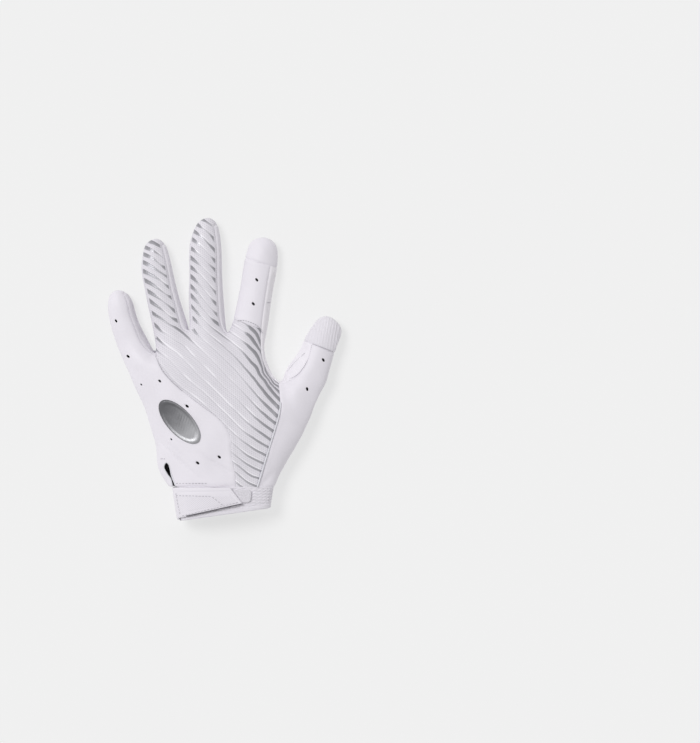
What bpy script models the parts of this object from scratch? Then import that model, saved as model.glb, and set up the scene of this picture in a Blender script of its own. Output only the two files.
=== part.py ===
"""Left football receiver glove, lying palm down on a surface, hollow and open at the wrist.

The hand is one closed cage of quads, with two columns to each digit, that a subdivision surface
passes through. The seams follow lines of that cage, so each panel is a patch of the same surface,
given its own wall thickness and set a small gap away from its neighbours. The cuff and the strap
are rings round the wrist. In plan +X runs to the thumb and +Y to the fingertips. The drawing's
zero is the point of the wrist seam in line with the middle finger, and at the end the glove is
moved so that its bounding box is centred on the origin and rests on z = 0.
"""

from collections import namedtuple
from math import cos, pi, radians, sin

import bmesh
import bpy
import numpy as np
from mathutils import Vector
from mathutils.bvhtree import BVHTree

MM = 0.001

# Driving dimensions of the hand, in millimetres
HAND_LENGTH = 118.0
PALM_WIDTH = 100.0
HAND_HEIGHT = 27.0
WRIST_HEIGHT = 23.5
ROOT_HEIGHT = 19.5
WALL = 1.3
FOURCHETTE_WALL = 1.1
PANEL_GAP = 0.3

# Driving dimensions of the digits, in millimetres
LITTLE_LENGTH, LITTLE_WIDTH, LITTLE_HEIGHT = 55.5, 20.0, 14.5
RING_LENGTH, RING_WIDTH, RING_HEIGHT = 79.5, 22.0, 16.0
MIDDLE_LENGTH, MIDDLE_WIDTH, MIDDLE_HEIGHT = 87.0, 24.0, 17.0
INDEX_LENGTH, INDEX_WIDTH, INDEX_HEIGHT = 78.0, 24.0, 17.0
THUMB_LENGTH, THUMB_WIDTH, THUMB_HEIGHT = 60.5, 27.0, 19.0

# Driving dimensions of the cuff, strap, piping, holes and badge, in millimetres
CUFF_WALL = 1.6
CUFF_LENGTH_RADIAL = 16.0
CUFF_LENGTH_ULNAR = 26.0
CUFF_TAPER = 4.0
SLIT_LENGTH = 17.5
SLIT_WIDTH = 3.8
STRAP_WALL = 1.6
STRAP_WIDTH = 24.5
TAB_LENGTH = 54.0
TAB_END_WIDTH = 11.5
TAB_POINT = 9.0
STRAP_TAIL = 34.0
HEM_MARGIN = 0.8
PAD_WALL = 1.0
PAD_LENGTH = 46.0
PAD_WIDTH = 9.5
PAD_BEYOND_TAB = 7.0
PAD_INSET = 1.5
PIPING_DIAMETER = 1.2
HOLE_LENGTH = 3.0
HOLE_WIDTH = 2.2
BADGE_LENGTH = 42.0
BADGE_WIDTH = 19.0
BADGE_THICKNESS = 0.8

# How the surfaces are shaped, in millimetres
FLAT_BELOW = 0.45
EDGE_INSET = 1.5
CUFF_INSET = 2.8
STRAP_STEP = 4.0
TAB_NOSE = 0.8
WRAP_START = 3.0

# Powers of the superellipses of the wrist, the back and the palm, and heights as shares
WRIST_POWER, BACK_POWER, PALM_POWER = 2.5, 2.8, 5
HAND_MIDDLE = 0.40
CUTTER_FOOT = 0.45
THUMB_RISE = 1.12

# How far the palm's flat part lies inside the outline: shares of the widths of the digits
ULNAR_INSET, RADIAL_INSET, WEB_INSET, PALM_INSET = 0.21, 0.155, 0.16, 0.13
ROW_EVENNESS = 0.35

# The strap sinks from the pad to the cuff between these angles round the wrist, in degrees
SINK_FROM, SINK_TO = 135, 180
TAPER_LIMIT = 1.2

# The slit's foot and its lean, in shares of its width and its length
SLIT_FOOT, SLIT_HALF_OPENING, SLIT_LEAN = 0.8, 0.35, 0.33

# Rows of the hand from the wrist seam to the roots of the fingers. X is in shares of PALM_WIDTH
# and y in shares of HAND_LENGTH, for the ulnar outline, the seam of the side panel, the seam of
# the thumb panel and the radial outline. Past the crotch of the thumb the third is the outline.
HandRow = namedtuple("HandRow", "ulnar_x ulnar_y side_x side_y thumb_x thumb_y radial_x radial_y height")
HAND_ROWS = (
    HandRow(-0.402, 0.000, 0.126, 0.000, 0.252, 0.000, 0.376, 0.000, 1.00),
    HandRow(-0.485, 0.131, 0.102, 0.131, 0.295, 0.119, 0.435, 0.114, 0.96),
    HandRow(-0.502, 0.262, 0.064, 0.262, 0.344, 0.254, 0.534, 0.254, 1.00),
    HandRow(-0.547, 0.398, 0.004, 0.398, 0.396, 0.398, 0.609, 0.381, 1.00),
    HandRow(-0.602, 0.525, -0.174, 0.525, 0.427, 0.525, 0.658, 0.475, 0.98),
    HandRow(-0.670, 0.644, -0.375, 0.661, 0.415, 0.664, 0.703, 0.576, 0.94),
    HandRow(-0.715, 0.729, -0.475, 0.771, 0.310, 0.805, None, None, 0.86),
    HandRow(-0.743, 0.784, -0.515, 0.853, 0.295, 0.922, None, None, 0.78),
)
ROOT_ROW = len(HAND_ROWS) - 1
THUMB_ROW = sum(row.radial_x is not None for row in HAND_ROWS) - 1

# The crotches on the root row, as shares of PALM_WIDTH and HAND_LENGTH
CROTCH_LINES = {4: (-0.265, 0.997), 6: (0.026, 0.979)}
CROTCH_HEIGHT, CROTCH_MIDDLE, CROTCH_PALM = 0.76, 0.42, 0.10

# Cross-sections of a digit, in shares of its length (along), its width (left, right, and how far
# the back panel's edge lies inside the outline on the side that is rolled up) and its height. Skew
# is how much lower the section runs on its right, in shares of the length for a whole width.
Station = namedtuple("Station", "along left right rolled height skew", defaults=(0.0,))
Digit = namedtuple("Digit", "name lean length width height rolled_side tip_offset stations")
DIGITS = (
    Digit("little", -17.4, LITTLE_LENGTH, LITTLE_WIDTH, LITTLE_HEIGHT, "right", -0.14, (
        Station(0.22, -0.70, 0.44, 0.24, 1.00),
        Station(0.42, -0.73, 0.34, 0.20, 0.98),
        Station(0.62, -0.69, 0.31, 0.19, 0.96),
        Station(0.80, -0.61, 0.32, 0.17, 0.92),
        Station(0.93, -0.46, 0.17, 0.08, 0.76),
    )),
    Digit("ring", -9.6, RING_LENGTH, RING_WIDTH, RING_HEIGHT, "right", -0.04, (
        Station(0.15, -0.58, 0.59, 0.20, 1.02),
        Station(0.34, -0.60, 0.50, 0.17, 1.00),
        Station(0.54, -0.63, 0.43, 0.17, 0.97),
        Station(0.74, -0.62, 0.39, 0.14, 0.93),
        Station(0.93, -0.42, 0.29, 0.10, 0.76),
    )),
    Digit("middle", -0.4, MIDDLE_LENGTH, MIDDLE_WIDTH, MIDDLE_HEIGHT, "right", 0.00, (
        Station(0.14, -0.58, 0.52, 0.16, 1.02),
        Station(0.33, -0.59, 0.47, 0.15, 1.00),
        Station(0.53, -0.58, 0.44, 0.14, 0.97),
        Station(0.74, -0.56, 0.42, 0.13, 0.93),
        Station(0.93, -0.36, 0.30, 0.10, 0.76),
    )),
    Digit("index", 9.1, INDEX_LENGTH, INDEX_WIDTH, INDEX_HEIGHT, "right", 0.06, (
        Station(0.14, -0.47, 0.61, 0.17, 1.02, 0.06),
        Station(0.33, -0.44, 0.60, 0.19, 1.00),
        Station(0.54, -0.42, 0.60, 0.20, 0.97),
        Station(0.75, -0.41, 0.60, 0.19, 0.94, 0.04),
        Station(0.92, -0.32, 0.49, 0.12, 0.78),
    )),
    Digit("thumb", 21.9, THUMB_LENGTH, THUMB_WIDTH, THUMB_HEIGHT, "left", 0.06, (
        Station(0.20, -0.50, 0.62, 0.36, 1.04),
        Station(0.40, -0.38, 0.59, 0.31, 1.00),
        Station(0.60, -0.36, 0.55, 0.22, 0.96),
        Station(0.78, -0.31, 0.53, 0.14, 0.90),
        Station(0.92, -0.20, 0.45, 0.08, 0.74),
    )),
)
BACK_EDGE_HEIGHT, ROLLED_RISE, ROLLED_LIMIT = 0.79, 0.5, 0.93
EDGE_MIDDLE, PALM_EDGE_HEIGHT, TIP_HEIGHT = 0.43, 0.05, 0.42

# Each digit takes two columns of the hand's cage, counted from the ulnar outline
DIGIT_LINES = {digit.name: 2 * place for place, digit in enumerate(DIGITS)}
SIDE_LINE = DIGIT_LINES["ring"]
THUMB_LINE = DIGIT_LINES["thumb"]
LAST_LINE = THUMB_LINE + 2

# Where the thimble caps and the smooth panel of the index finger start, as rows of stations
INDEX_SMOOTH_ROW, INDEX_CAP_ROW, THUMB_CAP_ROW = 1, 4, 3

# Perforations on a digit: shares of its length and, from its axis, of its width. Size is a share
# of the hole's length and width, and turn is its long axis from +X in degrees.
DigitHole = namedtuple("DigitHole", "digit along across size turn")
DIGIT_HOLES = (
    DigitHole("little", 0.59, -0.43, 0.9, -60),
    DigitHole("little", 0.07, -0.43, 1.0, -40),
    DigitHole("index", 0.58, 0.08, 1.0, -50),
    DigitHole("index", 0.34, 0.09, 1.0, -50),
    DigitHole("thumb", 0.46, 0.38, 1.0, -60),
    DigitHole("thumb", 0.06, 0.24, 1.0, -75),
)

# Perforations on the side panel, in shares of PALM_WIDTH and HAND_LENGTH
HandHole = namedtuple("HandHole", "x y size turn")
HAND_HOLES = (
    HandHole(-0.484, 0.674, 0.9, -45),
    HandHole(-0.620, 0.652, 0.6, -45),
    HandHole(-0.276, 0.514, 1.0, -40),
    HandHole(-0.397, 0.302, 0.6, -45),
    HandHole(-0.034, 0.190, 1.0, -40),
    HandHole(-0.197, 0.151, 1.0, -40),
)
BADGE_X, BADGE_Y, BADGE_TURN = -0.333, 0.414, -47

# The slit's outline from its foot round its head: shares of its lean, of half its width and of its
# length, and how far below the wrist seam the point lies, in walls
SlitPoint = namedtuple("SlitPoint", "lean across along below")
SLIT_POINTS = (
    SlitPoint(0.00, -0.7, 0.00, 0.8),
    SlitPoint(0.00, 0.7, 0.00, 0.8),
    SlitPoint(0.55, 1.0, 0.55, 0.0),
    SlitPoint(1.00, 0.8, 0.88, 0.0),
    SlitPoint(1.00, 0.0, 1.00, 0.0),
    SlitPoint(1.00, -0.8, 0.88, 0.0),
    SlitPoint(0.55, -1.0, 0.55, 0.0),
)

PANELS = (
    "palm_panel", "side_panel", "back_panel", "index_back_panel", "index_tip_cap",
    "thumb_back_panel", "thumb_tip_cap", "thumb_gusset", "index_side_wall",
    "fourchette_little_ring", "fourchette_ring_middle", "fourchette_middle_index",
)
PANEL_COLOURS = {
    "palm_panel": (0.72, 0.72, 0.75),
    "side_panel": (0.80, 0.79, 0.84),
    "back_panel": (0.66, 0.65, 0.70),
    "index_back_panel": (0.80, 0.79, 0.84),
    "index_tip_cap": (0.82, 0.81, 0.86),
    "thumb_back_panel": (0.80, 0.79, 0.84),
    "thumb_tip_cap": (0.74, 0.73, 0.78),
    "thumb_gusset": (0.76, 0.75, 0.80),
    "index_side_wall": (0.62, 0.61, 0.66),
    "fourchette_little_ring": (0.52, 0.51, 0.56),
    "fourchette_ring_middle": (0.52, 0.51, 0.56),
    "fourchette_middle_index": (0.52, 0.51, 0.56),
}
CUFF_COLOUR = (0.78, 0.77, 0.82)
STRAP_COLOUR = (0.80, 0.79, 0.84)
PAD_COLOUR = (0.70, 0.69, 0.74)
PIPING_COLOUR = (0.84, 0.83, 0.88)
BADGE_COLOUR = (0.30, 0.30, 0.32)


def new_material(name, colour, roughness):
    """A matte Principled material."""
    material = bpy.data.materials.new(name)
    material.use_nodes = True
    shader = material.node_tree.nodes["Principled BSDF"]
    shader.inputs["Base Color"].default_value = (*colour, 1.0)
    shader.inputs["Roughness"].default_value = roughness
    shader.inputs["Metallic"].default_value = 0.0
    return material


def new_object(name, points, faces, colour, roughness=0.7):
    """A smooth-shaded object from points in millimetres."""
    mesh = bpy.data.meshes.new(name)
    mesh.from_pydata([Vector(p) * MM for p in points], [], faces)
    mesh.materials.append(new_material(name, colour, roughness))
    mesh.shade_smooth()
    mesh.set_sharp_from_angle(angle=radians(50))
    obj = bpy.data.objects.new(name, mesh)
    bpy.context.scene.collection.objects.link(obj)
    return obj


def mix(a, b, share):
    """The point at a share of the way from a to b."""
    return tuple(p + (q - p) * share for p, q in zip(a, b))


# The cage of the hand and the digits

def wrist_section(across):
    """Heights of the back and the palm at the wrist, at a share across from -1 to 1."""
    bottom = PAD_WALL + STRAP_WALL
    middle = bottom + WRIST_HEIGHT / 2
    reach = WRIST_HEIGHT / 2 * (1 - min(abs(across), 1) ** WRIST_POWER) ** (1 / WRIST_POWER)
    return middle + reach, middle - reach


def hand_section(across, height):
    """Heights of the back and the palm of the hand, at a share across from -1 to 1."""
    middle = HAND_MIDDLE * height
    clipped = min(abs(across), 1)
    back = middle + (height - middle) * (1 - clipped ** BACK_POWER) ** (1 / BACK_POWER)
    palm = middle - middle * (1 - clipped ** PALM_POWER) ** (1 / PALM_POWER)
    return back, palm


class Cage:
    """The vertices and panel faces of the control cage, in millimetres."""

    def __init__(self):
        self.points = []
        self.index = {}
        self.faces = []
        self.panels = []

    def add(self, key, x, y, z):
        self.index[key] = len(self.points)
        self.points.append((x, y, z))

    def at(self, key):
        return self.points[self.index[key]]

    def quad(self, keys, panel):
        self.faces.append([self.index[key] for key in keys])
        self.panels.append(PANELS.index(panel))


def row_plan(number):
    """The plan points of one row of the hand, from the ulnar outline to its last line."""
    row = HAND_ROWS[number]
    ulnar = (row.ulnar_x * PALM_WIDTH, row.ulnar_y * HAND_LENGTH)
    side = (row.side_x * PALM_WIDTH, row.side_y * HAND_LENGTH)
    thumb = (row.thumb_x * PALM_WIDTH, row.thumb_y * HAND_LENGTH)
    plan = [ulnar, mix(ulnar, side, 0.5), side]
    inner = THUMB_LINE - SIDE_LINE
    plan += [mix(side, thumb, k / inner) for k in range(1, inner)] + [thumb]
    if number == ROOT_ROW:
        for line, (x, y) in CROTCH_LINES.items():
            plan[line] = (x * PALM_WIDTH, y * HAND_LENGTH)
        for line in range(SIDE_LINE + 1, THUMB_LINE, 2):
            plan[line] = mix(plan[line - 1], plan[line + 1], 0.5)
    if number == ROOT_ROW - 1:
        above = row_plan(ROOT_ROW)
        below = row_plan(ROOT_ROW - 2)
        for line in range(SIDE_LINE + 1, THUMB_LINE):
            plan[line] = mix(mix(above[line], below[line], 0.5), plan[line], ROW_EVENNESS)
    if row.radial_x is not None:
        radial = (row.radial_x * PALM_WIDTH, row.radial_y * HAND_LENGTH)
        plan += [mix(thumb, radial, 0.5), radial]
    return plan


def add_hand_points(cage):
    """The back, the palm and the mid-height points of every hand row."""
    for number, row in enumerate(HAND_ROWS):
        plan = row_plan(number)
        left, right = plan[0][0], plan[-1][0]
        centre, half = (left + right) / 2, (right - left) / 2
        last = len(plan) - 1
        height = row.height * HAND_HEIGHT
        for line, (x, y) in enumerate(plan):
            back_x, palm_x = x, x
            if line == 0:
                back_x, palm_x = x + EDGE_INSET, x + ULNAR_INSET * LITTLE_WIDTH
            elif line == last and number <= THUMB_ROW:
                back_x, palm_x = x - EDGE_INSET, x - RADIAL_INSET * THUMB_WIDTH
            elif line == last:
                back_x, palm_x = x - WEB_INSET * INDEX_WIDTH, x - PALM_INSET * INDEX_WIDTH
            if number == 0:
                back = wrist_section((back_x - centre) / half)[0]
                palm = wrist_section((palm_x - centre) / half)[1]
            else:
                back = hand_section((back_x - centre) / half, height)[0]
                palm = hand_section((palm_x - centre) / half, height)[1]
            cage.add(("back", line, number), back_x, y, back)
            cage.add(("palm", line, number), palm_x, y, palm)
        middle = wrist_section(1)[0] if number == 0 else HAND_MIDDLE * height
        cage.add(("ulnar", number), plan[0][0], plan[0][1], middle)
        if number <= THUMB_ROW:
            cage.add(("radial", number), plan[-1][0], plan[-1][1], middle)
        if number >= THUMB_ROW:
            x, y = plan[THUMB_LINE]
            cage.add(("web", number), x, y, CROTCH_MIDDLE * ROOT_HEIGHT)
    lower_crotches(cage)


def lower_crotches(cage):
    """Sets the root row to the fingers' height, dips every crotch and adds its mid point."""
    for line in range(1, THUMB_LINE):
        x, y, _ = cage.at(("back", line, ROOT_ROW))
        cage.points[cage.index["back", line, ROOT_ROW]] = (x, y, ROOT_HEIGHT)
    crotches = [("back", line, ROOT_ROW) for line in range(SIDE_LINE, THUMB_LINE, 2)]
    crotches.append(("back", THUMB_LINE, THUMB_ROW))
    for key in crotches:
        x, y, _ = cage.at(key)
        _, line, number = key
        cage.points[cage.index[key]] = (x, y, CROTCH_HEIGHT * ROOT_HEIGHT)
        cage.points[cage.index["palm", line, number]] = (x, y, CROTCH_PALM * ROOT_HEIGHT)
        if number == ROOT_ROW:
            cage.add(("crotch", line), x, y, CROTCH_MIDDLE * ROOT_HEIGHT)
    knuckle = ("back", THUMB_LINE + 1, THUMB_ROW)
    x, y, _ = cage.at(knuckle)
    cage.points[cage.index[knuckle]] = (x, y, THUMB_RISE * THUMB_HEIGHT)


def add_hand_faces(cage):
    """The two sheets of the hand and the walls along its open sides."""
    for row in range(ROOT_ROW):
        last = LAST_LINE if row < THUMB_ROW else THUMB_LINE
        for line in range(last):
            if line < SIDE_LINE:
                panel = "side_panel"
            else:
                panel = "back_panel" if line < THUMB_LINE else "thumb_back_panel"
            cage.quad((("back", line, row), ("back", line + 1, row),
                       ("back", line + 1, row + 1), ("back", line, row + 1)), panel)
            cage.quad((("palm", line, row), ("palm", line, row + 1),
                       ("palm", line + 1, row + 1), ("palm", line + 1, row)), "palm_panel")
        cage.quad((("ulnar", row), ("back", 0, row),
                   ("back", 0, row + 1), ("ulnar", row + 1)), "side_panel")
        cage.quad((("palm", 0, row), ("ulnar", row),
                   ("ulnar", row + 1), ("palm", 0, row + 1)), "palm_panel")
        side, upper, lower = "radial", "thumb_back_panel", "palm_panel"
        if row >= THUMB_ROW:
            side, upper, lower = "web", "index_side_wall", "index_side_wall"
        cage.quad((("back", last, row), (side, row),
                   (side, row + 1), ("back", last, row + 1)), upper)
        cage.quad(((side, row), ("palm", last, row),
                   ("palm", last, row + 1), (side, row + 1)), lower)


# The eight points round a digit, from its left back edge over the back and round the palm
RING_PARTS = ("back_left", "back", "back_right", "right", "palm_right", "palm", "palm_left", "left")


def root_ring(name):
    """The keys of the hand's points that a digit grows from."""
    first = DIGIT_LINES[name]
    row = THUMB_ROW if name == "thumb" else ROOT_ROW
    right = {"index": ("web", ROOT_ROW), "thumb": ("radial", THUMB_ROW)}.get(name, ("crotch", first + 2))
    left = {"little": ("ulnar", ROOT_ROW), "thumb": ("web", THUMB_ROW)}.get(name, ("crotch", first))
    return [("back", first, row), ("back", first + 1, row), ("back", first + 2, row), right,
            ("palm", first + 2, row), ("palm", first + 1, row), ("palm", first, row), left]


def digit_frame(digit):
    """A digit's base on the plan, its direction along and the direction to its right."""
    row = THUMB_ROW if digit.name == "thumb" else ROOT_ROW
    first = DIGIT_LINES[digit.name]
    plan = row_plan(row)
    base = Vector(mix(plan[first], plan[first + 2], 0.5))
    along = Vector((sin(radians(digit.lean)), cos(radians(digit.lean))))
    return base, along, Vector((along.y, -along.x))


def digit_place(digit, along, across):
    """The plan point at shares of a digit's length and width."""
    base, forward, right = digit_frame(digit)
    return base + forward * along * digit.length + right * across * digit.width


def ring_shares(digit, station):
    """Across and height shares of the eight points of a station."""
    edge = EDGE_INSET / digit.width
    inset_left = station.rolled if digit.rolled_side == "left" else edge
    inset_right = station.rolled if digit.rolled_side == "right" else edge
    back_left, back_right = station.left + inset_left, station.right - inset_right
    rise_left = min(BACK_EDGE_HEIGHT + ROLLED_RISE * (inset_left - edge), ROLLED_LIMIT)
    rise_right = min(BACK_EDGE_HEIGHT + ROLLED_RISE * (inset_right - edge), ROLLED_LIMIT)
    middle = (station.left + station.right) / 2
    return ((back_left, rise_left), ((back_left + back_right) / 2, 1.0), (back_right, rise_right),
            (station.right, EDGE_MIDDLE), (station.right - PALM_INSET, PALM_EDGE_HEIGHT), (middle, 0.0),
            (station.left + PALM_INSET, PALM_EDGE_HEIGHT), (station.left, EDGE_MIDDLE))


def digit_panel(name, row, part):
    """The panel of the face between a part of a ring and the next part, above a row.

    Parts are numbered as in RING_PARTS. On a finger the back's panel also takes the upper half of
    the left side, so that it reaches the outline.
    """
    if part in (0, 1) or (part == 7 and name != "thumb"):
        if name == "index" and row >= INDEX_SMOOTH_ROW:
            return "index_tip_cap" if row >= INDEX_CAP_ROW else "index_back_panel"
        if name == "thumb":
            return "thumb_tip_cap" if row >= THUMB_CAP_ROW else "thumb_back_panel"
        return "side_panel" if name == "little" else "back_panel"
    if part in (4, 5):
        return "palm_panel"
    right = part in (2, 3)
    if name == "index" and row >= INDEX_CAP_ROW:
        return "index_tip_cap"
    if name == "thumb" and row >= THUMB_CAP_ROW:
        return "palm_panel" if part == 3 else "thumb_tip_cap"
    if name == "thumb" and right:
        return "thumb_back_panel" if part == 2 else "palm_panel"
    if name == "little" and not right:
        return "palm_panel"
    left_walls = {"ring": "fourchette_little_ring", "middle": "fourchette_ring_middle",
                  "index": "fourchette_middle_index", "thumb": "thumb_gusset"}
    right_walls = {"little": "fourchette_little_ring", "ring": "fourchette_ring_middle",
                   "middle": "fourchette_middle_index", "index": "index_side_wall"}
    return right_walls[name] if right else left_walls[name]


def add_digit(cage, digit):
    """The rings of one digit, its walls and the four faces that close its tip."""
    rings = [root_ring(digit.name)]
    for number, station in enumerate(digit.stations):
        ring = [(digit.name, number, part) for part in RING_PARTS]
        for key, (across, rise) in zip(ring, ring_shares(digit, station)):
            place = digit_place(digit, station.along - station.skew * across, across)
            cage.add(key, place.x, place.y, rise * station.height * digit.height)
        rings.append(ring)
    for row, (below, above) in enumerate(zip(rings, rings[1:])):
        for part in range(8):
            after = (part + 1) % 8
            keys = (below[part], below[after], above[after], above[part])
            cage.quad(keys, digit_panel(digit.name, row, part))
    tip = digit_place(digit, 1.0, digit.tip_offset)
    cage.add((digit.name, "tip"), tip.x, tip.y, TIP_HEIGHT * digit.height)
    last = rings[-1]
    top = digit_panel(digit.name, len(digit.stations), 0)
    for corner in (0, 2, 4, 6):
        keys = (last[corner - 1], last[corner], last[corner + 1], (digit.name, "tip"))
        cage.quad(keys, top if corner in (0, 2) else "palm_panel")


def hand_cage():
    """The whole control cage."""
    cage = Cage()
    add_hand_points(cage)
    add_hand_faces(cage)
    for digit in DIGITS:
        add_digit(cage, digit)
    return cage


# The smooth surface through the cage, and its panels

def evaluated_points(obj):
    """The subdivided mesh of an object, with its points as an array."""
    bpy.context.view_layer.update()
    mesh = obj.evaluated_get(bpy.context.evaluated_depsgraph_get()).data
    points = np.empty(len(mesh.vertices) * 3)
    mesh.vertices.foreach_get("co", points)
    return mesh, points.reshape(-1, 3)


def smooth_surface(cage, level=1, fit_rounds=8):
    """Subdivides the cage so that its surface passes through the cage's own points."""
    mesh = bpy.data.meshes.new("cage")
    mesh.from_pydata(cage.points, [], cage.faces)
    mesh.attributes.new("panel", "INT", "FACE").data.foreach_set("value", cage.panels)
    obj = bpy.data.objects.new("cage", mesh)
    bpy.context.scene.collection.objects.link(obj)
    subdivision = obj.modifiers.new("Smooth", "SUBSURF")
    subdivision.levels = level
    subdivision.render_levels = level
    wanted = np.array(cage.points)
    control = wanted.copy()
    for _ in range(fit_rounds):
        control += wanted - evaluated_points(obj)[1][:len(wanted)]
        mesh.vertices.foreach_set("co", control.ravel())
        mesh.update()
    result, points = evaluated_points(obj)
    faces = [tuple(face.vertices) for face in result.polygons]
    panels = np.empty(len(faces), np.int32)
    result.attributes["panel"].data.foreach_get("value", panels)
    bpy.data.objects.remove(obj)
    points[points[:, 2] < FLAT_BELOW, 2] = 0.0
    return points, faces, panels


def vertex_normals(points, faces):
    """Unit normals of the whole surface, weighted by area."""
    quads = np.array(faces)
    across = points[quads[:, 2]] - points[quads[:, 0]]
    other = points[quads[:, 3]] - points[quads[:, 1]]
    face_normals = np.cross(across, other)
    normals = np.zeros_like(points)
    for corner in range(4):
        np.add.at(normals, quads[:, corner], face_normals)
    return normals / np.linalg.norm(normals, axis=1)[:, None]


def border_edges(faces):
    """The directed edges that only one of these faces has."""
    edges = {}
    for face in faces:
        for a, b in zip(face, face[1:] + face[:1]):
            edges[a, b] = face
    return {edge: face for edge, face in edges.items() if edge[::-1] not in edges}


def border_shifts(points, normals, border):
    """How far each border vertex moves into its panel, to leave half of the gap."""
    inward = {}
    for a, b in border:
        normal = normals[a] + normals[b]
        side = np.cross(normal, points[b] - points[a])
        side /= np.linalg.norm(side)
        inward.setdefault(a, []).append(side)
        inward.setdefault(b, []).append(side)
    shifts = {}
    for vertex, sides in inward.items():
        mean = sum(sides) / len(sides)
        shifts[vertex] = mean * (PANEL_GAP / 2) / max(float(mean @ mean), 0.4)
    return shifts


def panel_solid(name, points, normals, faces):
    """One panel of cloth: its patch of the surface, given a wall and closed round its border."""
    wall = FOURCHETTE_WALL if name.startswith("fourchette") else WALL
    border = border_edges(faces)
    shifts = border_shifts(points, normals, border)
    used = sorted({vertex for face in faces for vertex in face})
    new = {vertex: place for place, vertex in enumerate(used)}
    outer = np.array([points[vertex] + shifts.get(vertex, 0.0) for vertex in used])
    outer[:, 2] = outer[:, 2].clip(0.0)
    inner = [place - normals[vertex] * wall for place, vertex in zip(outer, used)]
    count = len(used)
    solid_faces = [[new[v] for v in face] for face in faces]
    solid_faces += [[new[v] + count for v in reversed(face)] for face in faces]
    solid_faces += [[new[b], new[a], new[a] + count, new[b] + count] for a, b in border]
    return new_object(name, [*outer, *inner], solid_faces, PANEL_COLOURS[name])


# Perforations and the slit

def prism(outline, bottom, top):
    """Points and faces of an upright prism over a plan outline that runs anticlockwise."""
    count = len(outline)
    points = [(x, y, bottom) for x, y in outline] + [(x, y, top) for x, y in outline]
    faces = [list(range(count))[::-1], [count + k for k in range(count)]]
    faces += [[k, (k + 1) % count, (k + 1) % count + count, k + count] for k in range(count)]
    return points, faces


def slot_outline(centre, length, width, turn, sides=8):
    """A long hole's outline: an ellipse with its long axis turned from +X."""
    turned = radians(turn)
    outline = []
    for k in range(sides):
        angle = 2 * pi * (k + 0.5) / sides
        u, v = length / 2 * cos(angle), width / 2 * sin(angle)
        outline.append((centre[0] + u * cos(turned) - v * sin(turned),
                        centre[1] + u * sin(turned) + v * cos(turned)))
    return outline


def slit_outline():
    """The teardrop slit on the ulnar side of the wrist, open at the wrist seam."""
    foot_x = HAND_ROWS[0].ulnar_x * PALM_WIDTH + SLIT_FOOT * SLIT_WIDTH
    lean = -SLIT_LEAN * SLIT_LENGTH
    return [(foot_x + point.lean * lean + point.across * SLIT_WIDTH / 2,
             point.along * SLIT_LENGTH - point.below * WALL) for point in SLIT_POINTS]


def cut(obj, outlines):
    """Cuts upright holes through the back of a panel, leaving what lies below mid-height."""
    points, faces = [], []
    for outline in outlines:
        more_points, more_faces = prism(outline, CUTTER_FOOT * ROOT_HEIGHT, 2 * HAND_HEIGHT)
        faces += [[v + len(points) for v in face] for face in more_faces]
        points += more_points
    cutter = new_object(obj.name + "_cutter", points, faces, BADGE_COLOUR)
    cutter.hide_render = True
    cutter.display_type = "WIRE"
    boolean = obj.modifiers.new("Holes", "BOOLEAN")
    boolean.object = cutter
    boolean.solver = "EXACT"
    return cutter


def hole_outlines(names):
    """Outlines of the perforations on the named digits."""
    digits = {digit.name: digit for digit in DIGITS}
    return [slot_outline(digit_place(digits[hole.digit], hole.along, hole.across),
                         hole.size * HOLE_LENGTH, hole.size * HOLE_WIDTH, hole.turn)
            for hole in DIGIT_HOLES if hole.digit in names]


def hand_hole_outlines():
    """Outlines of the perforations on the side panel of the hand."""
    return [slot_outline((hole.x * PALM_WIDTH, hole.y * HAND_LENGTH),
                         hole.size * HOLE_LENGTH, hole.size * HOLE_WIDTH, hole.turn)
            for hole in HAND_HOLES]


# Cuff, strap and pad: sheets on rings round the wrist

def cuff_frame(y):
    """Centre and half width of the cuff's section at a distance below the wrist seam."""
    row = HAND_ROWS[0]
    left, right = row.ulnar_x * PALM_WIDTH + CUFF_INSET, row.radial_x * PALM_WIDTH
    centre, half = (left + right) / 2, (right - left) / 2
    return centre, half - CUFF_TAPER * min(-y / CUFF_LENGTH_ULNAR, TAPER_LIMIT)


def on_wrist(share):
    """A cosine or sine bent to the wrist's superellipse, with its sign."""
    return abs(share) ** (2 / WRIST_POWER) * (1 if share >= 0 else -1)


def steepness(place, reach):
    """How steeply the wrist's superellipse falls along one axis, at a place on it."""
    return abs(place / reach) ** (WRIST_POWER - 1) * (1 if place >= 0 else -1) / reach


def cuff_point(angle, y, offset):
    """A point on the cuff's section, moved outwards. Angle 0 is the thumb side, 90 the back."""
    centre, half = cuff_frame(y)
    reach = WRIST_HEIGHT / 2
    middle = PAD_WALL + STRAP_WALL + reach
    turned = radians(angle)
    x, z = half * on_wrist(cos(turned)), reach * on_wrist(sin(turned))
    slope_x, slope_z = steepness(x, half), steepness(z, reach)
    length = (slope_x ** 2 + slope_z ** 2) ** 0.5
    return (centre + x + offset * slope_x / length, y, middle + z + offset * slope_z / length)


def cuff_angle(x, y, back=True):
    """The angle at which the cuff's section reaches an x, on its back or its palm side."""
    centre, half = cuff_frame(y)
    share = max(-1.0, min(1.0, (x - centre) / half))
    low, high = 0.0, 180.0
    for _ in range(40):
        middle = (low + high) / 2
        if on_wrist(cos(radians(middle))) > share:
            low = middle
        else:
            high = middle
    return low if back else -low


def hem(x):
    """The y of the cuff's slanted hem."""
    row = HAND_ROWS[0]
    left, right = row.ulnar_x * PALM_WIDTH, row.radial_x * PALM_WIDTH
    share = (x - left) / (right - left)
    return -CUFF_LENGTH_ULNAR + (CUFF_LENGTH_ULNAR - CUFF_LENGTH_RADIAL) * share


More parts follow.
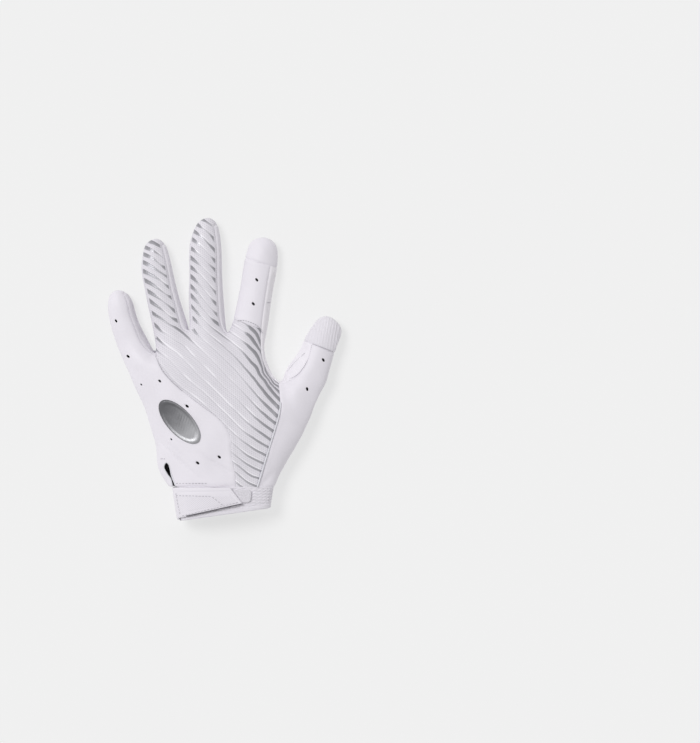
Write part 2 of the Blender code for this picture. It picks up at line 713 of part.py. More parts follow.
def sheet_solid(name, outer, inner, colour, roughness=0.7):
    """A closed sheet from two equal grids of points, outer and inner."""
    rows, columns = len(outer), len(outer[0])
    points = [p for line in outer for p in line] + [p for line in inner for p in line]
    count = rows * columns
    faces = []
    for r in range(rows - 1):
        for c in range(columns - 1):
            a, b = r * columns + c, r * columns + c + 1
            d, e = a + columns, b + columns
            faces += [[a, b, e, d], [a + count, d + count, e + count, b + count]]
    rim = [c for c in range(columns)]
    rim += [r * columns + columns - 1 for r in range(1, rows)]
    rim += [(rows - 1) * columns + c for c in range(columns - 2, -1, -1)]
    rim += [r * columns for r in range(rows - 2, 0, -1)]
    for a, b in zip(rim, rim[1:] + rim[:1]):
        faces.append([b, a, a + count, b + count])
    obj = new_object(name, points, faces, colour, roughness)
    face_outwards(obj)
    return obj


def face_outwards(obj):
    """Turns every face of a closed mesh outwards."""
    mesh = bmesh.new()
    mesh.from_mesh(obj.data)
    bmesh.ops.recalc_face_normals(mesh, faces=mesh.faces)
    mesh.to_mesh(obj.data)
    mesh.free()


def slit_angle(y, side):
    """Where the cuff's slit starts or ends, on its back near the ulnar edge."""
    row = HAND_ROWS[0]
    x = row.ulnar_x * PALM_WIDTH + (SLIT_FOOT + SLIT_HALF_OPENING * side) * SLIT_WIDTH
    x += CUFF_TAPER * min(-y / CUFF_LENGTH_ULNAR, TAPER_LIMIT)
    return cuff_angle(x, y)


def build_cuff(rows=3, steps=28):
    """The cuff: an open ring from the wrist seam to the slanted hem, split at the slit."""
    outer, inner = [], []
    for r in range(rows + 1):
        outer_line, inner_line = [], []
        for c in range(steps + 1):
            top = -PANEL_GAP
            start, end = slit_angle(top, -1), slit_angle(top, 1)
            angle = start + (end + 360 - start) * c / steps
            x = cuff_point(angle, top, 0)[0]
            y = top + (hem(x) - top) * r / rows
            outer_line.append(cuff_point(angle, y, 0))
            inner_line.append(cuff_point(angle, y, -CUFF_WALL))
        outer.append(outer_line)
        inner.append(inner_line)
    return sheet_solid("cuff", outer, inner, CUFF_COLOUR, 0.85)


def band_sheet(name, edges, lift, wall, colour, roughness=0.7, across=3):
    """A sheet laid on the cuff. Edges are (angle, y of upper edge, y of lower edge) along it."""
    outer, inner = [], []
    for k in range(across + 1):
        outer.append([cuff_point(a, top + (low - top) * k / across, lift + wall) for a, top, low in edges])
        inner.append([cuff_point(a, top + (low - top) * k / across, lift) for a, top, low in edges])
    return sheet_solid(name, outer, inner, colour, roughness)


def strap_places(tail_steps=14):
    """The strap's stations as (angle, upper y, lower y), from the tab's point to the sewn tail."""
    left = HAND_ROWS[0].ulnar_x * PALM_WIDTH
    top = -2 * PANEL_GAP
    point_x = left + TAB_LENGTH
    shoulder_x = point_x - TAB_POINT
    point_y = top - TAB_END_WIDTH
    places = [(cuff_angle(point_x - TAB_NOSE / 2, point_y), point_y + TAB_NOSE, point_y - TAB_NOSE)]
    x = point_x - TAB_POINT / 3
    while x > left + CUFF_INSET + WRAP_START:
        share = (point_x - x) / TAB_LENGTH
        upper = top if x <= shoulder_x else top - TAB_END_WIDTH * (x - shoulder_x) / TAB_POINT
        lower = point_y - TAB_NOSE + (top - STRAP_WIDTH - point_y + TAB_NOSE) * share
        places.append((cuff_angle(x, (upper + lower) / 2), upper, lower))
        x -= STRAP_STEP
    first = places[-1][0]
    tail = 360 + cuff_angle(left + STRAP_TAIL, top - STRAP_WIDTH / 2, back=False)
    for k in range(1, tail_steps + 1):
        angle = first + (tail - first) * k / tail_steps
        lower = hem(cuff_point(angle, top, 0)[0]) + HEM_MARGIN
        places.append((angle, top, max(top - STRAP_WIDTH, lower)))
    return places


def build_strap(rows=3):
    """The strap: a tab on the back that wraps the ulnar edge, with its tail on the palm side."""
    lift = PANEL_GAP + PAD_WALL + PANEL_GAP
    places = strap_places()
    outer, inner = [], []
    for k in range(rows + 1):
        outer_line, inner_line = [], []
        for angle, upper, lower in places:
            sunk = min(max((angle - SINK_FROM) / (SINK_TO - SINK_FROM), 0.0), 1.0)
            base = lift + (PANEL_GAP - lift) * sunk
            y = upper + (lower - upper) * k / rows
            outer_line.append(cuff_point(angle, y, base + STRAP_WALL))
            inner_line.append(cuff_point(angle, y, base))
        outer.append(outer_line)
        inner.append(inner_line)
    return sheet_solid("wrist_strap", outer, inner, STRAP_COLOUR, 0.7)


def build_pad(steps=10):
    """The loop pad under the tab, which shows past the tab's point."""
    left = HAND_ROWS[0].ulnar_x * PALM_WIDTH
    end_x = left + TAB_LENGTH + PAD_BEYOND_TAB
    upper = -2 * PANEL_GAP - PAD_INSET
    edges = []
    for k in range(steps + 1):
        x = end_x - PAD_LENGTH * k / steps
        edges.append((cuff_angle(x, upper), upper, upper - PAD_WIDTH))
    return band_sheet("strap_loop_pad", edges, PANEL_GAP, PAD_WALL, PAD_COLOUR, 0.9)


# Piping and badge: laid on the panels

def build_piping(points, normals, faces, panels, sections=6):
    """The cord along the seam between the back panel and the thumb panel."""
    pair = {PANELS.index("back_panel"), PANELS.index("thumb_back_panel")}
    sides = {}
    for face, panel in zip(faces, panels):
        for vertex in face:
            sides.setdefault(vertex, set()).add(int(panel))
    seam = sorted((v for v, found in sides.items() if pair <= found), key=lambda v: points[v][1])
    radius = PIPING_DIAMETER / 2
    centres = [points[v] + normals[v] * (radius + PANEL_GAP) for v in seam[:-1]]
    rings = []
    for k, centre in enumerate(centres):
        ahead = centres[min(k + 1, len(centres) - 1)] - centres[max(k - 1, 0)]
        ahead /= np.linalg.norm(ahead)
        side = np.cross(ahead, normals[seam[k]])
        side /= np.linalg.norm(side)
        up = np.cross(side, ahead)
        rings.append([centre + radius * (side * cos(2 * pi * s / sections) + up * sin(2 * pi * s / sections))
                      for s in range(sections)])
    count = len(rings)
    solid_points = [p for ring in rings for p in ring]
    solid_faces = [list(range(sections)), [(count - 1) * sections + s for s in reversed(range(sections))]]
    for k in range(count - 1):
        for s in range(sections):
            a, b = k * sections + s, k * sections + (s + 1) % sections
            solid_faces.append([a, a + sections, b + sections, b])
    obj = new_object("thumb_seam_piping", solid_points, solid_faces, PIPING_COLOUR)
    face_outwards(obj)
    return obj


def build_badge(tree, rings=3, sides=20):
    """A blank raised oval on the side panel, bent to the surface under it."""
    centre = (BADGE_X * PALM_WIDTH, BADGE_Y * HAND_LENGTH)
    plan = [centre]
    for ring in range(1, rings + 1):
        share = ring / rings
        plan += slot_outline(centre, share * BADGE_LENGTH, share * BADGE_WIDTH, BADGE_TURN, sides)
    low, high = [], []
    for x, y in plan:
        place, normal, _, _ = tree.ray_cast(Vector((x, y, 4 * HAND_HEIGHT)), Vector((0, 0, -1)))
        low.append(place + normal * PANEL_GAP)
        high.append(place + normal * (PANEL_GAP + BADGE_THICKNESS))
    count = len(plan)
    faces = []
    for k in range(sides):
        after = (k + 1) % sides
        faces.append([0, 1 + k, 1 + after])
        for ring in range(rings - 1):
            a, b = 1 + ring * sides + k, 1 + ring * sides + after
            faces.append([a, a + sides, b + sides, b])
    solid_faces = [[v + count for v in face] for face in faces] + [face[::-1] for face in faces]
    rim = 1 + (rings - 1) * sides
    for k in range(sides):
        a, b = rim + k, rim + (k + 1) % sides
        solid_faces.append([a, b, b + count, a + count])
    obj = new_object("back_badge", low + high, solid_faces, BADGE_COLOUR, 0.4)
    face_outwards(obj)
    return obj


def centre_on_origin(objects):
    """Moves the glove so that its box is centred in plan and rests on z = 0."""
    corners = np.array([v.co[:] for obj in objects if not obj.hide_render for v in obj.data.vertices])
    low, high = corners.min(axis=0), corners.max(axis=0)
    shift = Vector((-(low[0] + high[0]) / 2, -(low[1] + high[1]) / 2, -low[2]))
    for obj in objects:
        for vertex in obj.data.vertices:
            vertex.co += shift


def build():
    """Clears the scene and models the glove."""
    for obj in list(bpy.data.objects):
        bpy.data.objects.remove(obj)
    points, faces, panels = smooth_surface(hand_cage())
    normals = vertex_normals(points, faces)
    objects = {}
    for number, name in enumerate(PANELS):
        patch = [face for face, panel in zip(faces, panels) if panel == number]
        objects[name] = panel_solid(name, points, normals, patch)
    side_holes = hole_outlines({"little"}) + hand_hole_outlines() + [slit_outline()]
    cutters = [cut(objects["side_panel"], side_holes)]
    cutters.append(cut(objects["index_back_panel"], hole_outlines({"index"})))
    cutters.append(cut(objects["thumb_back_panel"], hole_outlines({"thumb"})))
    tree = BVHTree.FromPolygons([Vector(p) for p in points], faces)
    extras = [build_cuff(), build_strap(), build_pad(),
              build_piping(points, normals, faces, panels), build_badge(tree)]
    centre_on_origin(list(objects.values()) + extras + cutters)


build()
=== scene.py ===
"""The finish of a left football receiver glove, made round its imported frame.

The cloth panels are patches of one smooth surface that passes through the points of a cage, as
they are in the frame, and each is modelled again here with turned seams, creases and ribs. All
lengths are in millimetres until a mesh is made. The plan has +X to the thumb and +Y to the
fingertips, with its zero at the middle of the glove's box.
"""

import logging
from collections.abc import Callable, Sequence
from dataclasses import dataclass, field
from enum import Enum
from math import atan2, copysign, cos, degrees, hypot, pi, radians, sin
from typing import Protocol

import bmesh
import bpy
import numpy as np
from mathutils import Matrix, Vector
from mathutils.bvhtree import BVHTree
from mathutils.kdtree import KDTree


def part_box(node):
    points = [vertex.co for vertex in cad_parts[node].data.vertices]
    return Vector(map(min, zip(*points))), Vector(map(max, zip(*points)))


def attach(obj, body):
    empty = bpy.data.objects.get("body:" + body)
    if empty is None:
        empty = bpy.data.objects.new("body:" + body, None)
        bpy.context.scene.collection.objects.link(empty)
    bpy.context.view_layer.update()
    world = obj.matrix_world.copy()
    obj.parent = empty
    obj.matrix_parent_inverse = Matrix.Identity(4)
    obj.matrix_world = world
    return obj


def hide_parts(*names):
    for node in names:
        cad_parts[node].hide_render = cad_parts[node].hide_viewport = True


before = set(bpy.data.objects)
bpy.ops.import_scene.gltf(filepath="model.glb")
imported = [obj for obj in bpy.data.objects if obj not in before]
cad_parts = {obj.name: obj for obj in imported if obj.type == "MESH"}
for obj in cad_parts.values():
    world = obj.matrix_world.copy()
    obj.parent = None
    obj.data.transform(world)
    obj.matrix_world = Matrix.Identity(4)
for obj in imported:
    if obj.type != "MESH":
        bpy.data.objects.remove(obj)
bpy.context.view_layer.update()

LOG = logging.getLogger("glove")
MM = 0.001
BODY = "root"
ABOVE = 100.0
CURVE_STEPS = 24
TIP_SHRINK = 0.55

Points = np.ndarray
Colour = tuple[float, float, float]
Pixel = tuple[float, float]
Face = list[int]
Material = bpy.types.Material
Object = bpy.types.Object


class Panel(Enum):
    """The cloth panels, by the names of their nodes."""

    PALM = "palm_panel"
    SIDE = "side_panel"
    BACK = "back_panel"
    INDEX_BACK = "index_back_panel"
    INDEX_TIP = "index_tip_cap"
    THUMB_BACK = "thumb_back_panel"
    THUMB_TIP = "thumb_tip_cap"
    THUMB_GUSSET = "thumb_gusset"
    INDEX_SIDE = "index_side_wall"
    LITTLE_RING = "fourchette_little_ring"
    RING_MIDDLE = "fourchette_ring_middle"
    MIDDLE_INDEX = "fourchette_middle_index"

    @property
    def rank(self) -> int:
        """The panel's number in the surface's tables."""
        return list(Panel).index(self)


class Side(Enum):
    """The side of a digit on which its back panel stops short of the outline."""

    LEFT = "left"
    RIGHT = "right"


# Shader graphs


class Value:
    """A shader socket that takes part in Python expressions."""

    def __init__(self, graph: "Graph", socket: bpy.types.NodeSocket) -> None:
        """Keeps the socket and the graph that it belongs to."""
        self.graph = graph
        self.socket = socket

    def maths(self, operation: str, *others: "Value | float") -> "Value":
        """A Math node that works on this value."""
        sockets = dict(enumerate((self, *others)))
        return self.graph.node("ShaderNodeMath", {"operation": operation}, sockets)

    def __add__(self, other: "Value | float") -> "Value":
        """Sum."""
        return self.maths("ADD", other)

    __radd__ = __add__

    def __sub__(self, other: "Value | float") -> "Value":
        """Difference."""
        return self.maths("SUBTRACT", other)

    def __rsub__(self, other: float) -> "Value":
        """A number minus this value."""
        return (self * -1.0) + other

    def __mul__(self, other: "Value | float") -> "Value":
        """Product."""
        return self.maths("MULTIPLY", other)

    __rmul__ = __mul__

    def __truediv__(self, other: "Value | float") -> "Value":
        """Quotient."""
        return self.maths("DIVIDE", other)

    def wave(self, pitch: float) -> "Value":
        """A cosine between 0 and 1 that repeats every pitch."""
        return (self * (2 * pi / pitch)).maths("COSINE") * 0.5 + 0.5

    def step(self, low: "Value | float", high: "Value | float") -> "Value":
        """A smooth rise from 0 at low to 1 at high."""
        settings = {"interpolation_type": "SMOOTHSTEP"}
        return self.graph.node("ShaderNodeMapRange", settings, {0: self, 1: low, 2: high})


class Graph:
    """A material's node tree with one Principled shader."""

    def __init__(self, name: str) -> None:
        """Starts a material with an empty tree."""
        self.material = bpy.data.materials.new(name)
        self.material.use_nodes = True
        self.tree = self.material.node_tree
        self.shader = self.tree.nodes["Principled BSDF"]

    def node(self, kind: str, settings: dict, sockets: dict, out: int | str = 0) -> Value:
        """Adds a node.

        Args:
            kind: the node's type.
            settings: its properties.
            sockets: values or links, by the names or numbers of its inputs.
            out: the output that is wanted.

        Returns:
            That output.
        """
        node = self.tree.nodes.new(kind)
        for name, setting in settings.items():
            setattr(node, name, setting)
        for name, given in sockets.items():
            self.feed(node.inputs[name], given)
        return Value(self, node.outputs[out])

    def feed(self, socket: bpy.types.NodeSocket, given: "Value | float | Sequence[float]") -> None:
        """Links a value to an input, or sets the input.

        Args:
            socket: the input.
            given: a value, a number, a colour or a vector.
        """
        if isinstance(given, Value):
            self.tree.links.new(given.socket, socket)
        elif socket.type == "RGBA":
            socket.default_value = (*given, 1.0)
        else:
            socket.default_value = given

    def place(self) -> Value:
        """The object coordinates, in millimetres."""
        spot = self.node("ShaderNodeTexCoord", {}, {}, "Object")
        return self.node("ShaderNodeVectorMath", {"operation": "SCALE"}, {0: spot, "Scale": 1 / MM})

    def axes(self, spot: Value) -> tuple[Value, Value, Value]:
        """The three parts of a vector."""
        split = self.node("ShaderNodeSeparateXYZ", {}, {0: spot}).socket.node
        return tuple(Value(self, socket) for socket in split.outputs)

    def attribute(self, name: str) -> Value:
        """A number that the mesh carries at its points."""
        return self.node("ShaderNodeAttribute", {"attribute_name": name}, {}, "Fac")

    def noise(self, spot: Value, size: float, detail: float = 2.0, rough: float = 0.5) -> Value:
        """Cloudy noise between 0 and 1, with clouds of a size in millimetres."""
        sockets = {"Vector": spot, "Scale": 1 / size, "Detail": detail, "Roughness": rough}
        return self.node("ShaderNodeTexNoise", {}, sockets, "Fac")

    def blend(self, share: Value, first: "Value | Colour", second: "Value | Colour") -> Value:
        """A colour between the first, at a share of 0, and the second, at 1."""
        sockets = {0: share, 6: first, 7: second}
        return self.node("ShaderNodeMix", {"data_type": "RGBA"}, sockets, 2)

    def bump(self, height: Value, depth: float) -> Value:
        """A normal from a height of 0 to 1 that is this many millimetres deep."""
        sockets = {"Height": height, "Distance": depth * MM, "Strength": 1.0}
        return self.node("ShaderNodeBump", {}, sockets)

    def cloth(self, finish: "Finish", tone: Value, rough: Value, height: Value, fixed: dict) -> Material:
        """Finishes a cloth between its two tones, with its texture's height."""
        colour, normal = self.blend(tone, finish.dark, finish.light), self.bump(height, finish.depth)
        return self.finish({"Base Color": colour, "Roughness": rough, "Normal": normal}, fixed)

    def finish(self, linked: dict, fixed: dict) -> Material:
        """Feeds the Principled shader.

        Args:
            linked: what changes over the surface.
            fixed: what is the same all over it.

        Returns:
            The material.
        """
        for name, given in (linked | fixed).items():
            self.feed(self.shader.inputs[name], given)
        return self.material


# Finishes


class Finish(Protocol):
    """What every cloth's finish has: two tones and the depth of its texture."""

    dark: Colour
    light: Colour
    depth: float


@dataclass(frozen=True)
class SmoothKnit:
    """The plain white panels: a tight, smooth knit with a faint grain."""

    name: str = "smooth_knit"
    light: Colour = (0.875, 0.845, 0.905)
    dark: Colour = (0.825, 0.795, 0.855)
    pitch: float = 0.45
    depth: float = 0.05
    roughness: float = 0.55

    def make(self) -> Material:
        """The material.

        Returns:
            A new material.
        """
        graph = Graph(self.name)
        spot = graph.place()
        x, y, z = graph.axes(spot)
        wales = (x + z).wave(self.pitch)
        courses = (y + z * 0.6).wave(self.pitch * 0.8)
        grain = wales * courses
        cloud = graph.noise(spot, 14.0, 3.0)
        fleck = graph.noise(spot, 0.5, 1.0)
        # Grain and fleck darken where the bump is low: partly painted shade, with random tone from the
        # cloud.
        tone = cloud * 0.5 + grain * 0.2 + fleck * 0.3
        rough = cloud * 0.1 + (self.roughness - 0.05)
        return graph.cloth(self, tone, rough, grain * 0.7 + fleck * 0.6,
                           {"Sheen Weight": 0.15, "Sheen Roughness": 0.4})


@dataclass(frozen=True)
class StripedKnit:
    """The back panel: an eyelet knit with a foil print of slanted stripes, with painted reflection in the
    foil's strength and painted highlight lines.
    """

    name: str = "striped_knit"
    ground: Colour = (0.79, 0.765, 0.82)
    # grey of the eyelets' painted shade, also used for the thin grey print lines
    eyelet_shade_and_line_grey: Colour = (0.68, 0.66, 0.715)
    silver: Colour = (0.25, 0.245, 0.27)
    pale_silver: Colour = (0.50, 0.495, 0.53)
    glint: Colour = (0.97, 0.95, 1.0)
    eyelet: float = 1.5
    depth: float = 0.13

    def make(self) -> Material:
        """The material.

        Returns:
            A new material.
        """
        graph = Graph(self.name)
        spot = graph.place()
        phase = graph.attribute("stripe_phase")
        strength = graph.attribute("foil_and_painted_reflection")
        margin = graph.attribute("plain_margin")
        x, y, _ = graph.axes(spot)
        rows = (x, x * 0.5 + y * 0.866, x * 0.5 - y * 0.866)
        first, second, third = [row.wave(self.eyelet) for row in rows]
        holes = ((first + second + third) / 3.0).step(0.52, 0.85)
        fleck = graph.noise(spot, 0.45, 2.0, 0.6)
        across = (phase + 0.5).maths("FRACT") - 0.5
        half = graph.attribute("stripe_half")
        ragged = across.maths("ABSOLUTE") + (fleck - 0.5) * 0.08
        inside = 1.0 - ragged.step(half - 0.04, half + 0.04)
        # The foil's strength scales the print: partly its real weight, partly painted reflection.
        foil = inside * margin * (strength.step(0.0, 0.6) * 0.75 + 0.2)
        slope = (across / half) * 0.5 + 0.5
        metal = graph.blend(slope * 0.55 + fleck * 0.35, self.silver, self.pale_silver)
        # The eyelets darken towards the hollow grey: painted shade in their holes.
        open_knit = holes * (1.0 - strength * 0.6) + (fleck - 0.4) * 0.5
        knit = graph.blend(open_knit, self.ground, self.eyelet_shade_and_line_grey)
        faded = graph.blend(foil, knit, metal)
        again = (phase + 0.15).maths("FRACT") - 0.5
        lines = (1.0 - again.maths("ABSOLUTE").step(0.02, 0.09)) * (fleck * 0.5 + 0.1) * margin
        ruled = graph.blend(lines, faded, self.eyelet_shade_and_line_grey)
        # Thin broken light lines beside the stripes, where the foil is faint: painted highlight in the
        # glint colour.
        line = 1.0 - (across + 0.17).maths("ABSOLUTE").step(0.04, 0.10)
        broken = graph.noise(spot, 15.0, 1.0).step(0.42, 0.62) * 0.75 + 0.1
        edge = line * broken * (1.0 - strength.step(0.35, 0.75))
        colour = graph.blend(edge * margin, ruled, self.glint)
        rough = 0.62 - foil * 0.27
        height = foil * 0.45 - holes * 0.8 * (1.0 - foil * 0.5) + fleck * 0.25
        normal = graph.bump(height, self.depth)
        linked = {"Base Color": colour, "Roughness": rough, "Metallic": foil * 0.45, "Normal": normal}
        return graph.finish(linked, {})


@dataclass(frozen=True)
class WallKnit:
    """The grey-white stretch mesh of the walls between the fingers."""

    name: str = "wall_knit"
    light: Colour = (0.91, 0.88, 0.94)
    dark: Colour = (0.80, 0.775, 0.83)
    pitch: float = 0.8
    depth: float = 0.10

    def make(self) -> Material:
        """The material.

        Returns:
            A new material.
        """
        graph = Graph(self.name)
        spot = graph.place()
        x, y, z = graph.axes(spot)
        first = (y + z).wave(self.pitch)
        second = (y - z + x * 0.3).wave(self.pitch)
        weave = first * second
        fleck = graph.noise(spot, 0.6, 2.0)
        cloud = graph.noise(spot, 9.0)
        # Darker where the weave's bump is low: partly painted shade, with random tone from fleck and cloud.
        tone = weave * 0.5 + fleck * 0.3 + cloud * 0.3
        return graph.cloth(self, tone, cloud * 0.1 + 0.65, weave + fleck * 0.3, {"Sheen Weight": 0.2})


@dataclass(frozen=True)
class RibKnit:
    """Ribbed knit: fine wales that run along the piece's own ribs."""

    name: str = "rib_knit"
    light: Colour = (0.90, 0.87, 0.93)
    dark: Colour = (0.76, 0.735, 0.79)
    along: Colour = (1.0, 0.0, 0.3)
    pitch: float = 0.9
    depth: float = 0.14

    def make(self) -> Material:
        """The material.

        Returns:
            A new material.
        """
        graph = Graph(self.name)
        spot = graph.place()
        x, y, z = graph.axes(spot)
        line = x * self.along[0] + y * self.along[1] + z * self.along[2]
        cross = x * -self.along[1] + y * self.along[0]
        ribs = line.wave(self.pitch)
        loops = (cross + ribs * 0.25).wave(self.pitch * 0.7)
        fleck = graph.noise(spot, 0.4, 1.0)
        height = ribs * 0.7 + loops * 0.3 * ribs + fleck * 0.2
        # The colour follows the height, darker in the troughs between the ribs: painted shade.
        return graph.cloth(self, height, fleck * 0.1 + 0.68, height, {"Sheen Weight": 0.2})


@dataclass(frozen=True)
class StrapTwill:
    """The strap's outer cloth: slanted fine ribs under a smooth border."""

    name: str = "strap_twill"
    light: Colour = (0.87, 0.84, 0.90)
    dark: Colour = (0.76, 0.735, 0.79)
    pitch: float = 1.15
    depth: float = 0.12

    def make(self) -> Material:
        """The material.

        Returns:
            A new material.
        """
        graph = Graph(self.name)
        spot = graph.place()
        x, y, _ = graph.axes(spot)
        plain = graph.attribute("plain_border")
        ribs = (x * 0.62 + y * 0.78).wave(self.pitch)
        fleck = graph.noise(spot, 0.5, 2.0)
        cloud = graph.noise(spot, 10.0)
        relief = ribs * (1.0 - plain) + plain * 0.75
        # Darker in the ribs' troughs where the relief is low: painted shade, with random tone from fleck
        # and cloud.
        tone = relief * 0.6 + fleck * 0.2 + cloud * 0.2
        return graph.cloth(self, tone, 0.62 - plain * 0.12, relief + fleck * 0.25, {"Sheen Weight": 0.1})


@dataclass(frozen=True)
class LoopPile:
    """The fuzzy loops that the tab fastens on."""

    name: str = "loop_pile"
    light: Colour = (0.87, 0.84, 0.90)
    dark: Colour = (0.70, 0.68, 0.73)
    size: float = 0.55
    depth: float = 0.4

    def make(self) -> Material:
        """The material.

        Returns:
            A new material.
        """
        graph = Graph(self.name)
        spot = graph.place()
        cells = graph.node("ShaderNodeTexVoronoi", {}, {"Vector": spot, "Scale": 1 / self.size}, "Distance")
        fuzz = graph.noise(spot, 0.3, 3.0, 0.7)
        height = cells * 0.7 + fuzz * 0.5
        # The colour follows the height, darker low in the pile: painted shade.
        return graph.cloth(self, height, fuzz * 0.15 + 0.75, height, {"Sheen Weight": 0.5})


@dataclass(frozen=True)
class Thread:
    """Twisted thread or cord."""

    name: str = "sewing_thread"
    light: Colour = (0.88, 0.875, 0.92)
    dark: Colour = (0.70, 0.695, 0.75)
    pitch: float = 0.5
    depth: float = 0.06
    roughness: float = 0.45

    def make(self) -> Material:
        """The material.

        Returns:
            A new material.
        """
        graph = Graph(self.name)
        spot = graph.place()
        x, y, z = graph.axes(spot)
        twist = (x + y * 0.8 + z).wave(self.pitch)
        fleck = graph.noise(spot, 0.3)
        rough = fleck * 0.15 + (self.roughness - 0.07)
        # Darker in the grooves of the twist: partly painted shade, with random tone from the fleck.
        return graph.cloth(self, twist * 0.6 + fleck * 0.4, rough, twist, {"Sheen Weight": 0.2})


@dataclass(frozen=True)
class BadgeFilm:
    """Brushed silver-grey film with a slow change of tone from end to end."""

    name: str = "badge_film"
    dark: Colour = (0.13, 0.13, 0.14)
    light: Colour = (0.42, 0.42, 0.44)
    length: float = 42.0

    def make(self) -> Material:
        """The material.

        Returns:
            A new material.
        """
        graph = Graph(self.name)
        spot = graph.place()
        along = graph.attribute("badge_along")
        across = graph.attribute("badge_across")
        scratch = graph.node("ShaderNodeCombineXYZ", {}, {0: along * 0.15, 1: across * 6.0})
        brushed = graph.noise(scratch, 1.0, 3.0, 0.6)
        cloud = graph.noise(spot, 8.0)
        tone = along / self.length + 0.42 + (brushed - 0.5) * 0.35 + (cloud - 0.5) * 0.3
        colour = graph.blend(tone.step(0.0, 1.0), self.dark, self.light)
        linked = {"Base Color": colour, "Roughness": brushed * 0.15 + 0.3, "Metallic": 0.3 + cloud * 0.2,
                  "Normal": graph.bump(brushed, 0.03)}
        return graph.finish(linked, {"Coat Weight": 0.3, "Coat Roughness": 0.2})


@dataclass(frozen=True)
class GripSilicone:
    """The tacky palm: smooth silicone-coated cloth with a pebbled grain."""

    name: str = "grip_silicone"
    light: Colour = (0.76, 0.755, 0.79)
    dark: Colour = (0.66, 0.655, 0.69)
    grain: float = 1.1
    depth: float = 0.10

    def make(self) -> Material:
        """The material.

        Returns:
            A new material.
        """
        graph = Graph(self.name)
        spot = graph.place()
        pebbles = graph.node("ShaderNodeTexVoronoi", {"feature": "SMOOTH_F1"},
                             {"Vector": spot, "Scale": 1 / self.grain, "Smoothness": 0.6}, "Distance")
        cloud = graph.noise(spot, 16.0, 3.0)
        tone = cloud * 0.7 + pebbles * 0.3
        return graph.cloth(self, tone, cloud * 0.16 + 0.28, 1.0 - pebbles,
                           {"Coat Weight": 0.25, "Coat Roughness": 0.3})


@dataclass(frozen=True)
class PaintedShadeLining:
    """The grey inner face: its dark grey is painted shade, which makes the holes and the slit look dark."""

    name: str = "painted_shade_lining"
    light: Colour = (0.19, 0.18, 0.20)
    dark: Colour = (0.13, 0.12, 0.14)

    def make(self) -> Material:
        """The material.

        Returns:
            A new material.
        """
        graph = Graph(self.name)
        spot = graph.place()
        weave = graph.noise(spot, 0.8, 2.0)
        colour = graph.blend(weave, self.dark, self.light)
        return graph.finish({"Base Color": colour, "Roughness": weave * 0.1 + 0.85}, {})


@dataclass(frozen=True)
class StudioPaper:
    """The pale floor."""

    name: str = "studio_paper"
    light: Colour = (0.31, 0.31, 0.31)
    dark: Colour = (0.30, 0.30, 0.30)
    glow: float = 0.592

    def make(self) -> Material:
        """The material.

        Returns:
            A new material.
        """
        graph = Graph(self.name)
        cloud = graph.noise(graph.place(), 300.0)
        colour = graph.blend(cloud, self.dark, self.light)
        return graph.finish({"Base Color": colour}, {
            "Roughness": 0.9, "Specular IOR Level": 0.1, "Emission Color": (1.0, 1.0, 1.0),
            "Emission Strength": self.glow})


# The plan as the photograph shows it


@dataclass(frozen=True)
class PhotoPlan:
    """Where a pixel of the 700 x 743 photograph lies in the plan."""

    scale: float = 0.757
    centre: Pixel = (224.5, 369.0)

    def at(self, pixel: Pixel) -> tuple[float, float]:
        """The plan point of a pixel."""
        return ((pixel[0] - self.centre[0]) * self.scale, (self.centre[1] - pixel[1]) * self.scale)

    def line(self, pixels: Sequence[Pixel], step: float = 0.5) -> Points:
        """A smooth plan line through pixels.

        Args:
            pixels: the pixels that it passes through.
            step: the distance between its points.

        Returns:
            Points along it, about a step apart.
        """
        knots = np.array([self.at(pixel) for pixel in pixels])
        if len(knots) == 2:
            knots = np.array([knots[0], knots.mean(axis=0), knots[1]])
        padded = np.vstack([2 * knots[0] - knots[1], knots, 2 * knots[-1] - knots[-2]])
        points = []
        for a, b, c, d in zip(padded, padded[1:], padded[2:], padded[3:]):
            for t in np.linspace(0, 1, CURVE_STEPS, endpoint=False):
                points.append(0.5 * (2 * b + (c - a) * t + (2 * a - 5 * b + 4 * c - d) * t ** 2
                                     + (3 * b - a - 3 * c + d) * t ** 3))
        points.append(knots[-1])
        return spaced(np.array(points), step)


def spaced(line: Points, step: float) -> Points:
    """Points along a line at equal steps.

    Args:
        line: the line's points.
        step: about how far apart the new points are.

    Returns:
        The new points, from end to end.
    """
    lengths = np.linalg.norm(np.diff(line, axis=0), axis=1)
    places = np.concatenate([[0.0], np.cumsum(lengths)])
    count = max(2, round(places[-1] / step) + 1)
    wanted = np.linspace(0, places[-1], count)
    return np.stack([np.interp(wanted, places, line[:, axis]) for axis in range(line.shape[1])], axis=1)


PHOTO = PhotoPlan()


class PlanField:
    """A smooth field over the plan through the numbers of rows: a thin-plate spline."""

    def __init__(self, rows: Sequence["PlanRow"], slack: float = 2.0) -> None:
        """Fits the field.

        Args:
            rows: numbers and their pixels.
            slack: how far it may miss them, for a calmer field.
        """
        self.points = np.array([PHOTO.at(pixel) for row in rows for pixel in row.pixels])
        numbers = [row.number for row in rows for _ in row.pixels]
        count = len(self.points)
        system = np.zeros((count + 3, count + 3))
        system[:count, :count] = self.kernel(self.points) + slack * np.eye(count)
        system[:count, count] = 1.0
        system[:count, count + 1:] = self.points
        system[count:, :count] = system[:count, count:].T
        self.weights = np.linalg.solve(system, np.concatenate([numbers, np.zeros(3)]))

    def kernel(self, places: Points) -> Points:
        """The spline's bending part, from places to its own points."""
        square = ((places[:, None, :] - self.points[None, :, :]) ** 2).sum(axis=2)
        return 0.5 * square * np.log(square + 1e-9)

    def __call__(self, places: Points) -> Points:
        """The field at plan points."""
        bent = self.kernel(places) @ self.weights[:-3]
        return bent + self.weights[-3] + places @ self.weights[-2:]


@dataclass(frozen=True)
class PlanRow:
    """A number, and the pixels at which the plan has it."""

    number: float
    pixels: tuple[Pixel, ...]


